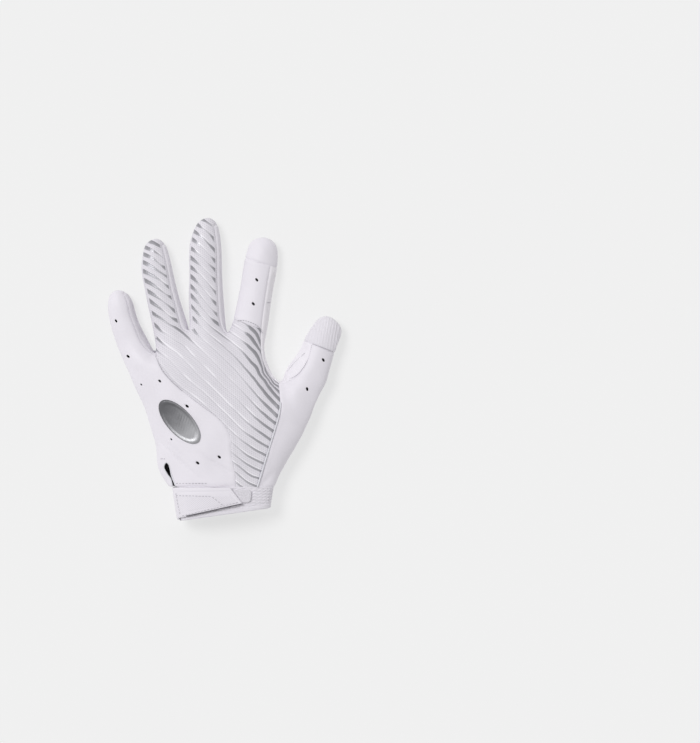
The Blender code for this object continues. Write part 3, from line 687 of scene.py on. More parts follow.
# The stripes of the print: their numbers and their middle lines.
STRIPES = tuple(PlanRow(*row) for row in (
    (-7, ((201.5, 219), (219, 232))),
    (-6, ((196, 224), (216.5, 242))),
    (-4, ((192.5, 239.5), (214, 260))),
    (-2, ((149, 241), (163, 248))),
    (-2, ((190.3, 257.5), (203, 268), (214, 279))),
    (-1, ((144.5, 247), (165, 259.5))),
    (0, ((143, 254), (154, 259), (166.5, 269))),
    (0, ((190.3, 276), (203, 289), (215, 303))),
    (0, ((250.5, 328), (257, 334.4), (262.2, 348.3))),
    (1, ((239, 328.5), (244, 332), (249.4, 336), (252.9, 340.2), (257.1, 345.8), (260.6, 350.7),
     (262.7, 356.3), (264.1, 363.3), (265.2, 369.6), (269.4, 377), (274, 384), (281.5, 388))),
    (2, ((143, 271), (159, 279), (170, 288))),
    (2, ((190.3, 295), (203, 309), (216.5, 323))),
    (2, ((232.5, 334), (238.2, 338.1), (246.6, 344.4), (251.5, 349.3), (256.4, 354.9), (259.9, 361.2),
     (262.7, 368.2), (268.3, 378.8), (273.2, 385.1), (281.5, 394))),
    (3, ((190.5, 305.5), (216.5, 331))),
    (3, ((224.8, 337.4), (230.4, 341.6), (236.5, 346.5), (241.7, 350.9), (245.7, 355.5), (252, 363),
     (258, 370.5), (263.8, 379), (269.7, 388), (281.5, 401))),
    (4, ((147.5, 291), (160, 299), (176, 312))),
    (4, ((191.5, 317), (217, 341))),
    (4, ((228, 350.5), (238, 360), (245, 368), (252, 376), (259, 385), (266, 393.8), (273.2, 401.8),
     (280.3, 408.8))),
    (5, ((150, 301), (160.2, 308.2), (177.5, 320.8), (191.7, 327.5), (198.6, 335.6), (217, 352))),
    (5, ((235.6, 370), (256.8, 394.7), (278.5, 417))),
    (6, ((152, 313), (163.4, 319.9), (175, 327.5), (187.8, 337.5), (200.9, 349.8), (228.4, 378),
     (234.4, 383.5), (255.6, 405.3), (276.8, 424))),
    (7, ((154.5, 324.5), (161.4, 331), (175.6, 340.6), (183.3, 345.4), (192.4, 355.4), (201.6, 364.3),
     (208.5, 371.2), (235.6, 397), (274.4, 431.8))),
    (8, ((157.2, 337.9), (163.4, 343.7), (175.6, 352.8), (182.5, 359), (190.9, 367), (196.5, 373.5),
     (228.5, 404.5), (271.5, 440))),
    (9, ((158.4, 351.7), (168, 359), (177.9, 369), (184, 376), (203.1, 391.8), (213.1, 401), (226, 413.5),
     (242.6, 430), (269, 447))),
    (10, ((153.8, 359.4), (160.3, 364.3), (166.4, 371), (171, 377.1), (177.1, 383.5), (214.4, 414),
     (249.7, 445.3), (266.8, 455.3))),
    (11, ((232, 441.8), (247.4, 454.7), (263.8, 463))),
    (12, ((235.6, 454.7), (245, 461.8), (261.5, 470.6))),
    (13, ((238, 464.7), (252, 475.3), (259, 477.6))),
    (14, ((239.7, 474.7), (248.5, 481.8))),
))

# How strong the foil is drawn: partly the print's own weight, partly painted reflection, strong at the
# fingers' edges and faint in their middles.
FOIL_AND_REFLECTION_GUIDES = tuple(PlanRow(*row) for row in (
    (1, ((143, 246), (142.5, 258), (143.5, 272), (146, 288), (149, 303))),
    (0.65, ((152, 318), (155, 328), (158, 342))),
    (0.85, ((150, 247), (151, 263), (152, 279), (154, 294), (157, 310), (159, 325))),
    (0.4, ((158, 251), (158, 267), (159, 282), (160, 297), (162, 312), (161, 332))),
    (0.06, ((163, 262), (164, 280), (166, 297), (169, 313), (170, 330))),
    (0.85, ((166.5, 264), (169, 280), (172, 296), (175.5, 310), (178, 324))),
    (1, ((197, 222), (192, 238), (190, 255), (190, 272), (190, 290))),
    (0.7, ((191, 308), (192, 320), (194, 332))),
    (0.7, ((200, 224), (196.5, 243), (196, 262), (196, 280), (197, 298), (198, 316))),
    (0.12, ((208, 230), (203, 248), (202, 266), (202, 284), (203, 302), (204, 322))),
    (0.06, ((210.5, 256), (211, 275), (211.5, 294), (211.5, 312), (211, 332))),
    (0.9, ((214.3, 244), (215.6, 262), (216, 281), (217, 300), (218, 320))),
    (0.12, ((234, 324), (240, 325), (246, 328), (236, 334))),
    (0.3, ((239, 339), (243, 342), (240, 352), (222, 338), (182, 336))),
    (0.75, ((249, 330), (252, 345), (256, 360), (264, 384), (268, 396), (270, 408))),
    (1, ((257, 334), (261, 345), (265, 362), (272, 378), (280, 390), (281, 400), (280, 412))),
    (0.75, ((279, 420), (276, 430))),
    (0.5, ((273, 442), (270, 452), (266, 466), (262, 478))),
    (0.55, ((266, 425), (262, 440))),
    (0.4, ((258, 400), (257, 415), (253, 434), (251, 455), (247, 474))),
    (0.25, ((246, 384), (249, 405), (246, 425), (243, 445), (240, 456), (160, 352))),
    (0.1, ((236, 425), (230, 412), (205, 400), (180, 382), (235, 375), (225, 352), (168, 366))),
    (0.02, ((200, 350), (215, 365), (185, 350), (200, 375), (220, 390), (175, 340), (238, 395))),
))

# The bare borders on the left of the two striped fingers.
PLAIN_EDGES = (
    ((143.6, 245), (142.6, 262), (142.8, 274), (144.4, 281), (147.4, 291), (149.8, 302), (152, 313),
     (154.4, 325), (157, 338)),
    ((195, 225), (191.8, 238), (190.4, 256), (190.4, 290), (191.2, 306), (192.6, 318), (194.2, 330)),
)


# The cage of the hand


@dataclass(frozen=True)
class HandRow:
    """A row across the hand, in shares of the palm's width and the hand's length."""

    ulnar: Pixel
    side: Pixel
    thumb: Pixel
    radial: Pixel | None
    height: float


@dataclass(frozen=True)
class Station:
    """A section of a digit, in shares of its length, its width and its height."""

    along: float
    left: float
    right: float
    rolled: float
    height: float
    skew: float = 0.0


@dataclass(frozen=True)
class Digit:
    """A finger or the thumb: its lean in degrees, its sizes and its sections."""

    name: str
    lean: float
    length: float
    width: float
    height: float
    rolled_side: Side
    tip_offset: float
    stations: tuple[Station, ...]


HAND_ROWS = (
    HandRow((-0.402, 0.000), (0.126, 0.000), (0.252, 0.000), (0.376, 0.000), 1.00),
    HandRow((-0.485, 0.131), (0.102, 0.131), (0.295, 0.119), (0.435, 0.114), 0.96),
    HandRow((-0.502, 0.262), (0.064, 0.262), (0.344, 0.254), (0.534, 0.254), 1.00),
    HandRow((-0.547, 0.398), (0.004, 0.398), (0.396, 0.398), (0.609, 0.381), 1.00),
    HandRow((-0.602, 0.525), (-0.174, 0.525), (0.427, 0.525), (0.658, 0.475), 0.98),
    HandRow((-0.670, 0.644), (-0.375, 0.661), (0.415, 0.664), (0.703, 0.576), 0.94),
    HandRow((-0.715, 0.729), (-0.475, 0.771), (0.320, 0.805), None, 0.86),
    HandRow((-0.743, 0.784), (-0.515, 0.853), (0.304, 0.922), None, 0.78),
)

DIGITS = (
    Digit("little", -17.4, 55.5, 20.0, 14.5, Side.RIGHT, -0.14, (
        Station(0.22, -0.70, 0.44, 0.24, 1.00),
        Station(0.42, -0.73, 0.34, 0.20, 0.98),
        Station(0.62, -0.69, 0.31, 0.19, 0.96),
        Station(0.80, -0.61, 0.32, 0.17, 0.92),
        Station(0.93, -0.46, 0.17, 0.08, 0.76),
    )),
    Digit("ring", -9.6, 79.5, 22.0, 16.0, Side.RIGHT, -0.04, (
        Station(0.15, -0.58, 0.59, 0.20, 1.02),
        Station(0.34, -0.60, 0.50, 0.17, 1.00),
        Station(0.54, -0.63, 0.43, 0.17, 0.97),
        Station(0.74, -0.62, 0.39, 0.14, 0.93),
        Station(0.93, -0.42, 0.29, 0.10, 0.76),
    )),
    Digit("middle", -0.4, 87.0, 24.0, 17.0, Side.RIGHT, 0.00, (
        Station(0.14, -0.58, 0.52, 0.16, 1.02),
        Station(0.33, -0.59, 0.47, 0.15, 1.00),
        Station(0.53, -0.58, 0.44, 0.14, 0.97),
        Station(0.74, -0.56, 0.42, 0.13, 0.93),
        Station(0.93, -0.36, 0.30, 0.10, 0.76),
    )),
    Digit("index", 9.1, 78.0, 24.0, 17.0, Side.RIGHT, 0.06, (
        Station(0.14, -0.47, 0.61, 0.17, 1.02, 0.06),
        Station(0.33, -0.44, 0.60, 0.19, 1.00),
        Station(0.54, -0.42, 0.60, 0.20, 0.97),
        Station(0.75, -0.41, 0.60, 0.19, 0.94, 0.04),
        Station(0.92, -0.32, 0.49, 0.12, 0.78),
    )),
    Digit("thumb", 21.9, 60.5, 27.0, 19.0, Side.LEFT, 0.06, (
        Station(0.20, -0.50, 0.62, 0.36, 1.04),
        Station(0.40, -0.38, 0.59, 0.31, 1.00),
        Station(0.60, -0.36, 0.55, 0.22, 0.96),
        Station(0.78, -0.31, 0.53, 0.14, 0.90),
        Station(0.92, -0.20, 0.45, 0.08, 0.74),
    )),
)
DIGIT_LINES = {"little": 0, "ring": 2, "middle": 4, "index": 6, "thumb": 8}
SHEETS = ("back", "palm")
RING_PARTS = ("back_left", "back", "back_right", "right", "palm_right", "palm", "palm_left", "left")
DIGIT_PANELS = {
    "little": (Panel.SIDE, Panel.LITTLE_RING, Panel.PALM, Panel.SIDE),
    "ring": (Panel.BACK, Panel.RING_MIDDLE, Panel.LITTLE_RING, Panel.BACK),
    "middle": (Panel.BACK, Panel.MIDDLE_INDEX, Panel.RING_MIDDLE, Panel.BACK),
    "index": (Panel.INDEX_BACK, Panel.INDEX_SIDE, Panel.MIDDLE_INDEX, Panel.INDEX_BACK),
    "thumb": (Panel.THUMB_BACK, Panel.THUMB_BACK, Panel.THUMB_GUSSET, Panel.THUMB_GUSSET),
}
PART_COLUMNS = (0, 0, 1, 1, None, None, 2, 3)
THUMB_ROW, ROOT_ROW, SIDE_LINE, THUMB_LINE, LAST_LINE = 5, 7, 2, 8, 10
INDEX_SMOOTH_ROW, INDEX_CAP_ROW, THUMB_CAP_ROW = 1, 4, 3


def between(a: Sequence[float], b: Sequence[float], share: float) -> tuple[float, ...]:
    """The point at a share of the way from a to b."""
    return tuple(p + (q - p) * share for p, q in zip(a, b))


@dataclass
class HandCage:
    """The control cage of the hand and its digits, as in the frame."""

    hand_length: float = 118.0
    palm_width: float = 100.0
    hand_height: float = 27.0
    wrist_height: float = 23.5
    root_height: float = 19.5
    wrist_bottom: float = 2.6
    edge_inset: float = 1.5
    palm_inset: float = 0.13
    hand_middle: float = 0.40
    side_rise: float = 0.42
    crotch_rise: float = 0.76
    crotch_foot: float = 0.10
    thumb_rise: float = 1.12
    evenness: float = 0.35
    wrist_power: float = 2.5
    back_power: float = 2.8
    palm_power: float = 5.0
    crotch_lines: dict = field(default_factory=lambda: {4: (-0.265, 0.997), 6: (0.026, 0.979)})
    points: list = field(default_factory=list)
    index: dict = field(default_factory=dict)
    faces: list = field(default_factory=list)
    panels: list = field(default_factory=list)

    def __post_init__(self) -> None:
        """Fills the cage."""
        self.add_hand_points()
        self.lower_crotches()
        self.add_hand_faces()
        for digit in DIGITS:
            self.add_digit(digit)

    def add(self, key: tuple, x: float, y: float, z: float) -> None:
        """Adds a point under a key."""
        self.index[key] = len(self.points)
        self.points.append((x, y, z))

    def move(self, key: tuple, z: float) -> None:
        """Sets a point's height."""
        x, y, _ = self.points[self.index[key]]
        self.points[self.index[key]] = (x, y, z)

    def quad(self, keys: Sequence[tuple], panel: Panel) -> None:
        """Adds a face of a panel."""
        self.faces.append([self.index[key] for key in keys])
        self.panels.append(panel.rank)

    def scaled(self, share: Pixel) -> tuple[float, float]:
        """A plan point from shares of the palm's width and the hand's length."""
        return (share[0] * self.palm_width, share[1] * self.hand_length)

    def row_plan(self, number: int) -> list:
        """The plan points of one row of the hand.

        Args:
            number: the row.

        Returns:
            Its points, from the ulnar outline to its last line.
        """
        row = HAND_ROWS[number]
        ulnar, side, thumb = self.scaled(row.ulnar), self.scaled(row.side), self.scaled(row.thumb)
        plan = [ulnar, between(ulnar, side, 0.5), side]
        inner = THUMB_LINE - SIDE_LINE
        plan += [between(side, thumb, k / inner) for k in range(1, inner)] + [thumb]
        if number == ROOT_ROW:
            for line, share in self.crotch_lines.items():
                plan[line] = self.scaled(share)
            for line in (3, 5, 7):
                plan[line] = between(plan[line - 1], plan[line + 1], 0.5)
        if number == ROOT_ROW - 1:
            above, below = self.row_plan(ROOT_ROW), self.row_plan(ROOT_ROW - 2)
            for line in range(SIDE_LINE + 1, THUMB_LINE):
                even = between(above[line], below[line], 0.5)
                plan[line] = between(even, plan[line], self.evenness)
        if row.radial is not None:
            radial = self.scaled(row.radial)
            plan += [between(thumb, radial, 0.5), radial]
        return plan

    def heights(self, row: HandRow, across: float) -> tuple[float, float]:
        """Heights of the back and the palm in a row's section.

        Args:
            row: the row.
            across: the place across, from -1 to 1.

        Returns:
            The two heights.
        """
        across = min(abs(across), 1)
        if row is HAND_ROWS[0]:
            middle = self.wrist_bottom + self.wrist_height / 2
            reach = self.wrist_height / 2 * (1 - across ** self.wrist_power) ** (1 / self.wrist_power)
            return middle + reach, middle - reach
        height = row.height * self.hand_height
        middle = self.hand_middle * height
        rise = (1 - across ** self.back_power) ** (1 / self.back_power)
        sink = (1 - across ** self.palm_power) ** (1 / self.palm_power)
        return middle + (height - middle) * rise, middle - middle * sink

    def add_hand_points(self) -> None:
        """Adds the back, the palm and the mid-height points of every hand row."""
        little, index, thumb = DIGITS[0].width, DIGITS[3].width, DIGITS[4].width
        for number, row in enumerate(HAND_ROWS):
            plan = self.row_plan(number)
            left, right = plan[0][0], plan[-1][0]
            centre, half = (left + right) / 2, (right - left) / 2
            insets = {0: (self.edge_inset, 0.21 * little),
                      len(plan) - 1: (-0.10 * index, -self.palm_inset * index)}
            if number <= THUMB_ROW:
                insets[len(plan) - 1] = (-self.edge_inset, -0.155 * thumb)
            for line, (x, y) in enumerate(plan):
                for sheet, inset in enumerate(insets.get(line, (0.0, 0.0))):
                    height = self.heights(row, (x + inset - centre) / half)[sheet]
                    self.add((SHEETS[sheet], line, number), x + inset, y, height)
            middle = self.heights(row, 1.0)[0]
            self.add(("ulnar", number), *plan[0], middle)
            if number <= THUMB_ROW:
                self.add(("radial", number), *plan[-1], middle)
            if number >= THUMB_ROW:
                self.add(("web", number), *plan[THUMB_LINE], self.side_rise * self.root_height)

    def lower_crotches(self) -> None:
        """Sets the root row to the fingers' height, dips the crotches and adds their mid points."""
        for line in range(1, THUMB_LINE):
            self.move(("back", line, ROOT_ROW), self.root_height)
        for line, number in ((2, ROOT_ROW), (4, ROOT_ROW), (6, ROOT_ROW), (THUMB_LINE, THUMB_ROW)):
            self.move(("back", line, number), self.crotch_rise * self.root_height)
            x, y, _ = self.points[self.index["back", line, number]]
            self.points[self.index["palm", line, number]] = (x, y, self.crotch_foot * self.root_height)
            if number == ROOT_ROW:
                self.add(("crotch", line), x, y, self.side_rise * self.root_height)
        self.move(("back", 9, THUMB_ROW), self.thumb_rise * DIGITS[4].height)

    def add_hand_faces(self) -> None:
        """Adds the two sheets of the hand and the walls along its open sides."""
        for row in range(ROOT_ROW):
            last = LAST_LINE if row < THUMB_ROW else THUMB_LINE
            for line in range(last):
                panel = Panel.BACK if line < THUMB_LINE else Panel.THUMB_BACK
                square = [(line, row), (line + 1, row), (line + 1, row + 1), (line, row + 1)]
                upper = Panel.SIDE if line < SIDE_LINE else panel
                self.quad([("back", *corner) for corner in square], upper)
                self.quad([("palm", *corner) for corner in square[:1] + square[:0:-1]], Panel.PALM)
            self.quad((("ulnar", row), ("back", 0, row), ("back", 0, row + 1), ("ulnar", row + 1)),
                      Panel.SIDE)
            self.quad((("palm", 0, row), ("ulnar", row), ("ulnar", row + 1), ("palm", 0, row + 1)),
                      Panel.PALM)
            side, upper, lower = "radial", Panel.THUMB_BACK, Panel.PALM
            if row >= THUMB_ROW:
                side, upper, lower = "web", Panel.INDEX_SIDE, Panel.INDEX_SIDE
            self.quad((("back", last, row), (side, row), (side, row + 1), ("back", last, row + 1)), upper)
            self.quad(((side, row), ("palm", last, row), ("palm", last, row + 1), (side, row + 1)), lower)

    def root_ring(self, name: str) -> list:
        """The keys of the hand's points that a digit grows from.

        Args:
            name: the digit.

        Returns:
            Eight keys, in the order of RING_PARTS.
        """
        first = DIGIT_LINES[name]
        row = THUMB_ROW if name == "thumb" else ROOT_ROW
        rights = {"index": ("web", ROOT_ROW), "thumb": ("radial", THUMB_ROW)}
        lefts = {"little": ("ulnar", ROOT_ROW), "thumb": ("web", THUMB_ROW)}
        right, left = rights.get(name, ("crotch", first + 2)), lefts.get(name, ("crotch", first))
        return [("back", first, row), ("back", first + 1, row), ("back", first + 2, row), right,
                ("palm", first + 2, row), ("palm", first + 1, row), ("palm", first, row), left]

    def digit_place(self, digit: Digit, along: float, across: float) -> Points:
        """The plan point at shares of a digit's length and width.

        Args:
            digit: the digit.
            along: the share of its length.
            across: the share of its width, to the right of its axis.

        Returns:
            The point.
        """
        plan = self.row_plan(THUMB_ROW if digit.name == "thumb" else ROOT_ROW)
        first = DIGIT_LINES[digit.name]
        base = np.array(between(plan[first], plan[first + 2], 0.5))
        lean = radians(digit.lean)
        forward, right = np.array((sin(lean), cos(lean))), np.array((cos(lean), -sin(lean)))
        return base + forward * along * digit.length + right * across * digit.width

    def ring_shares(self, digit: Digit, station: Station) -> tuple:
        """Across and height shares of the eight points of a station.

        Args:
            digit: the digit.
            station: one of its sections.

        Returns:
            Eight pairs.
        """
        edge = self.edge_inset / digit.width
        left = station.rolled if digit.rolled_side is Side.LEFT else edge
        right = station.rolled if digit.rolled_side is Side.RIGHT else edge
        rises = [min(0.79 + 0.5 * (inset - edge), 0.93) for inset in (left, right)]
        back_left, back_right = station.left + left, station.right - right
        return ((back_left, rises[0]), ((back_left + back_right) / 2, 1.0), (back_right, rises[1]),
                (station.right, 0.43), (station.right - self.palm_inset, 0.05),
                ((station.left + station.right) / 2, 0.0), (station.left + self.palm_inset, 0.05),
                (station.left, 0.43))

    def digit_panel(self, name: str, row: int, part: int) -> Panel:
        """The panel of a face of a digit.

        Args:
            name: the digit.
            row: the row of stations below the face.
            part: the ring's part that the face starts from.

        Returns:
            The panel.
        """
        column = PART_COLUMNS[part]
        if column is None or (name == "thumb" and part == 3):
            return Panel.PALM
        if name == "index" and row >= INDEX_CAP_ROW:
            return Panel.INDEX_TIP
        if name == "thumb" and row >= THUMB_CAP_ROW:
            return Panel.THUMB_TIP
        panel = DIGIT_PANELS[name][column]
        return Panel.BACK if panel is Panel.INDEX_BACK and row < INDEX_SMOOTH_ROW else panel

    def add_digit(self, digit: Digit) -> None:
        """Adds the rings of one digit, its walls and the four faces that close its tip.

        Args:
            digit: the digit.
        """
        rings = [self.root_ring(digit.name)]
        for number, station in enumerate(digit.stations):
            ring = [(digit.name, number, part) for part in RING_PARTS]
            for key, (across, rise) in zip(ring, self.ring_shares(digit, station)):
                place = self.digit_place(digit, station.along - station.skew * across, across)
                self.add(key, *place, rise * station.height * digit.height)
            rings.append(ring)
        for row, (below, above) in enumerate(zip(rings, rings[1:])):
            for part in range(8):
                after = (part + 1) % 8
                self.quad((below[part], below[after], above[after], above[part]),
                          self.digit_panel(digit.name, row, part))
        tip = self.digit_place(digit, 1.0, digit.tip_offset)
        self.add((digit.name, "tip"), *tip, self.side_rise * digit.height)
        top = self.digit_panel(digit.name, len(digit.stations), 0)
        for corner in (0, 2, 4, 6):
            ring = rings[-1]
            keys = (ring[corner - 1], ring[corner], ring[corner + 1], (digit.name, "tip"))
            self.quad(keys, top if corner in (0, 2) else Panel.PALM)


# The smooth surface and its patches


def unit_normals(points: Points, faces: Points) -> Points:
    """Unit normals of a surface of quads, weighted by area.

    Args:
        points: its points.
        faces: its quads.

    Returns:
        One normal for each point.
    """
    across = points[faces[:, 2]] - points[faces[:, 0]]
    other = points[faces[:, 3]] - points[faces[:, 1]]
    face_normals = np.cross(across, other)
    normals = np.zeros_like(points)
    for corner in range(4):
        np.add.at(normals, faces[:, corner], face_normals)
    return normals / np.linalg.norm(normals, axis=1)[:, None]


def nearest(places: Points, targets: Points) -> Points:
    """Distances from places to the nearest of some targets.

    Args:
        places: where to measure from.
        targets: what to measure to.

    Returns:
        One distance for each place.
    """
    if len(targets) == 0:
        return np.full(len(places), 1e3)
    tree = KDTree(len(targets))
    for number, target in enumerate(targets):
        tree.insert(target, number)
    tree.balance()
    return np.array([tree.find(place)[2] for place in places])


@dataclass
class Patch:
    """One panel's part of the surface."""

    panel: Panel
    points: Points
    normals: Points
    faces: Points
    border: list
    shared: Points

    def seam(self, *panels: Panel) -> Points:
        """The patch's points on its seams with some panels, or on its whole border.

        Args:
            panels: the neighbours, or none for the whole border.

        Returns:
            The points.
        """
        if not panels:
            return self.points[sorted({vertex for edge in self.border for vertex in edge})]
        chosen = self.shared[:, [panel.rank for panel in panels]].any(axis=1)
        return self.points[chosen]


@dataclass
class GloveSurface:
    """The surface that passes through the cage's points."""

    cage: HandCage
    fit_rounds: int = 8
    flat_from: float = 0.25
    flat_to: float = 1.0
    folded_from: float = 0.3

    def __post_init__(self) -> None:
        """Finds how far the plan lies from the frame's own zero."""
        points, panels, faces = self.evaluate(1)
        palm = faces[panels == Panel.PALM.rank]
        used = points[np.unique(palm)]
        low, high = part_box(Panel.PALM.value)
        middle = (np.array(low[:]) + np.array(high[:])) / (2 * MM)
        shift = middle - (used.min(axis=0) + used.max(axis=0)) / 2
        self.shift = np.array((shift[0], shift[1], 0.0))

    def evaluate(self, level: int) -> tuple[Points, Points, Points]:
        """Subdivides the cage so that its surface passes through the cage's own points.

        Args:
            level: how often each face is split.

        Returns:
            Points, the faces' panels and the faces.
        """
        mesh = bpy.data.meshes.new("cage")
        mesh.from_pydata(self.cage.points, [], self.cage.faces)
        mesh.attributes.new("panel", "INT", "FACE").data.foreach_set("value", self.cage.panels)
        obj = bpy.data.objects.new("cage", mesh)
        bpy.context.scene.collection.objects.link(obj)
        split = obj.modifiers.new("Smooth", "SUBSURF")
        split.levels = level
        split.render_levels = level
        wanted = np.array(self.cage.points)
        control = wanted.copy()
        for _ in range(self.fit_rounds):
            control += wanted - self.read(obj)[1][:len(wanted)]
            mesh.vertices.foreach_set("co", control.ravel())
            mesh.update()
        result, points = self.read(obj)
        faces = np.empty(len(result.polygons) * 4, np.int32)
        result.polygons.foreach_get("vertices", faces)
        panels = np.empty(len(result.polygons), np.int32)
        result.attributes["panel"].data.foreach_get("value", panels)
        bpy.data.objects.remove(obj)
        rise = ((points[:, 2] - self.flat_from) / (self.flat_to - self.flat_from)).clip(0, 1)
        points[:, 2] *= rise * rise * (3 - 2 * rise)
        return points, panels, faces.reshape(-1, 4)

    def read(self, obj: Object) -> tuple[bpy.types.Mesh, Points]:
        """Evaluates an object.

        Args:
            obj: the object.

        Returns:
            Its evaluated mesh and that mesh's points.
        """
        bpy.context.view_layer.update()
        mesh = obj.evaluated_get(bpy.context.evaluated_depsgraph_get()).data
        points = np.empty(len(mesh.vertices) * 3)
        mesh.vertices.foreach_get("co", points)
        return mesh, points.reshape(-1, 3)

    def at_level(self, level: int) -> None:
        """Evaluates the surface in the frame's place and keeps it.

        Args:
            level: how often each face is split.
        """
        self.points, self.panels, self.faces = self.evaluate(level)
        self.points += self.shift
        self.unfold(5 * 2 ** (level - 2))
        self.normals = unit_normals(self.points, self.faces)
        self.members = np.zeros((len(self.points), len(Panel)), bool)
        for corner in range(4):
            self.members[self.faces[:, corner], self.panels] = True

    def unfold(self, rings: int, rounds: int = 160) -> None:
        """Evens out the small folds that the surface makes beside narrow columns of the cage.

        Args:
            rings: how many rings of neighbours round a fold are evened with it.
            rounds: how often their points are averaged.
        """
        normals = unit_normals(self.points, self.faces)
        sides = np.sort(np.vstack([self.faces[:, (k, (k + 1) % 4)] for k in range(4)]))
        edges, uses = np.unique(sides, axis=0, return_counts=True)
        rim = np.zeros(len(self.points), bool)
        rim[edges[uses == 1].ravel()] = True
        turned = (normals[edges[:, 0]] * normals[edges[:, 1]]).sum(axis=1) < self.folded_from
        loose = np.zeros(len(self.points), bool)
        loose[edges[turned].ravel()] = True
        for _ in range(rings):
            touched = edges[loose[edges].any(axis=1)]
            loose[touched.ravel()] = True
        near = np.vstack([edges, edges[:, ::-1]])
        along_rim = np.concatenate([uses == 1, uses == 1])
        near = near[loose[near[:, 0]] & (~rim[near[:, 0]] | along_rim)]
        count = np.bincount(near[:, 0], minlength=len(self.points)).clip(1)[:, None]
        for _ in range(rounds):
            total = np.zeros_like(self.points)
            np.add.at(total, near[:, 0], self.points[near[:, 1]])
            self.points[loose] = 0.5 * (self.points + total / count)[loose]

    def patch(self, panel: Panel) -> Patch:
        """One panel's part of the surface.

        Args:
            panel: the panel.

        Returns:
            Its patch, with faces that count its own points.
        """
        faces = self.faces[self.panels == panel.rank]
        used, local = np.unique(faces, return_inverse=True)
        local = local.reshape(-1, 4)
        edges = {(a, b): True for face in local.tolist() for a, b in zip(face, face[1:] + face[:1])}
        border = [edge for edge in edges if edge[::-1] not in edges]
        return Patch(panel, self.points[used], self.normals[used], local, border, self.members[used])

    def tree(self) -> BVHTree:
        """A tree for casting rays on the surface, in millimetres."""
        return BVHTree.FromPolygons(self.points.tolist(), self.faces.tolist())


# Reliefs


class Relief(Protocol):
    """How far a panel's face stands proud of the surface, in millimetres."""

    def height(self, patch: Patch) -> Points:
        """Heights over a patch."""


@dataclass(frozen=True)
class TurnedSeam:
    """The cloth dips where it turns in at a seam, with a soft roll beside the dip."""

    depth: float = 0.35
    width: float = 0.8
    roll: float = 0.18
    roll_at: float = 2.0
    panels: tuple[Panel, ...] = ()

    def height(self, patch: Patch) -> Points:
        """Heights over a patch.

        Args:
            patch: the panel's patch.

        Returns:
            One height for each of its points.
        """
        away = nearest(patch.points, patch.seam(*self.panels))
        dip = -self.depth * np.exp(-(away / self.width) ** 2)
        return dip + self.roll * np.exp(-((away - self.roll_at) / self.roll_at) ** 2)


@dataclass(frozen=True)
class Puckers:
    """Small gathers that run in from a seam."""

    panels: tuple[Panel, ...]
    pitch: float = 4.2
    depth: float = 0.22
    reach: float = 5.0

    def height(self, patch: Patch) -> Points:
        """Heights over a patch.

        Args:
            patch: the panel's patch.

        Returns:
            One height for each of its points.
        """
        away = nearest(patch.points, patch.seam(*self.panels))
        along = patch.points[:, 0]
        slow = 1.0 + 0.35 * np.sin(along / 7.3)
        return self.depth * slow * np.sin(2 * pi * along / self.pitch) * np.exp(-away / self.reach)


@dataclass(frozen=True)
class Fold:
    """A crease, or with a negative depth a ridge, along a line of pixels."""

    pixels: tuple[Pixel, ...]
    depth: float
    width: float

    def height(self, patch: Patch) -> Points:
        """Heights over a patch.

        Args:
            patch: the panel's patch.

        Returns:
            One height for each of its points.
        """
        line = PHOTO.line(self.pixels, 1.0)
        places = np.linspace(0, 1, len(line))
        square = ((patch.points[:, None, :2] - line[None]) ** 2).sum(axis=2)
        closest = square.argmin(axis=1)
        away = np.sqrt(square[np.arange(len(square)), closest])
        fade = np.sin(pi * (0.08 + 0.84 * places[closest])) ** 0.7
        upper = patch.normals[:, 2].clip(0, 1)
        return -self.depth * fade * upper * np.exp(-(away / self.width) ** 2)


@dataclass(frozen=True)
class Ribs:
    """Raised ribs on a stretch of a panel."""

    turn: float
    pitch: float
    depth: float
    fade: float = 3.0

    def height(self, patch: Patch) -> Points:
        """Heights over a patch.

        Args:
            patch: the panel's patch.

        Returns:
            One height for each of its points.
        """
        turn = radians(self.turn)
        across = patch.points[:, 0] * cos(turn) + patch.points[:, 1] * sin(turn)
        away = nearest(patch.points, patch.seam())
        return self.depth * np.cos(2 * pi * across / self.pitch) * (1 - np.exp(-away / self.fade))


@dataclass(frozen=True)
class Drape:
    """Slow, shallow waves that keep a cloth from looking moulded."""

    depth: float = 0.28
    length: float = 23.0

    def height(self, patch: Patch) -> Points:
        """Heights over a patch.

        Args:
            patch: the panel's patch.

        Returns:
            One height for each of its points.
        """
        x, y = patch.points[:, 0] / self.length, patch.points[:, 1] / self.length
        waves = np.sin(2 * pi * (0.8 * x + 0.45 * y) + 1.3) + np.sin(2 * pi * (0.5 * y - 0.9 * x) + 0.4)
        return self.depth / 2 * (waves + 0.5 * np.sin(2 * pi * (1.9 * x + 1.2 * y) + 2.1))


# Making meshes


def new_piece(name: str, points: Points, faces: Sequence[Face], materials: Sequence[Material],
              slots: Sequence[int] | None = None, sharp: float = 60.0, closed: bool = True) -> Object:
    """A smooth-shaded object.

    Args:
        name: its name.
        points: its points in millimetres.
        faces: its faces.
        materials: its materials.
        slots: the material of each face, or none for the first.
        sharp: the angle in degrees past which an edge is sharp.
        closed: whether its faces are turned outwards.

    Returns:
        The object.
    """
    mesh = bpy.data.meshes.new(name)
    mesh.from_pydata((np.asarray(points) * MM).tolist(), [], faces)
    for material in materials:
        mesh.materials.append(material)
    if slots is not None:
        mesh.polygons.foreach_set("material_index", slots)
    mesh.shade_smooth()
    mesh.set_sharp_from_angle(angle=radians(sharp))
    obj = bpy.data.objects.new(name, mesh)
    bpy.context.scene.collection.objects.link(obj)
    if closed:
        face_outwards(obj)
    return obj


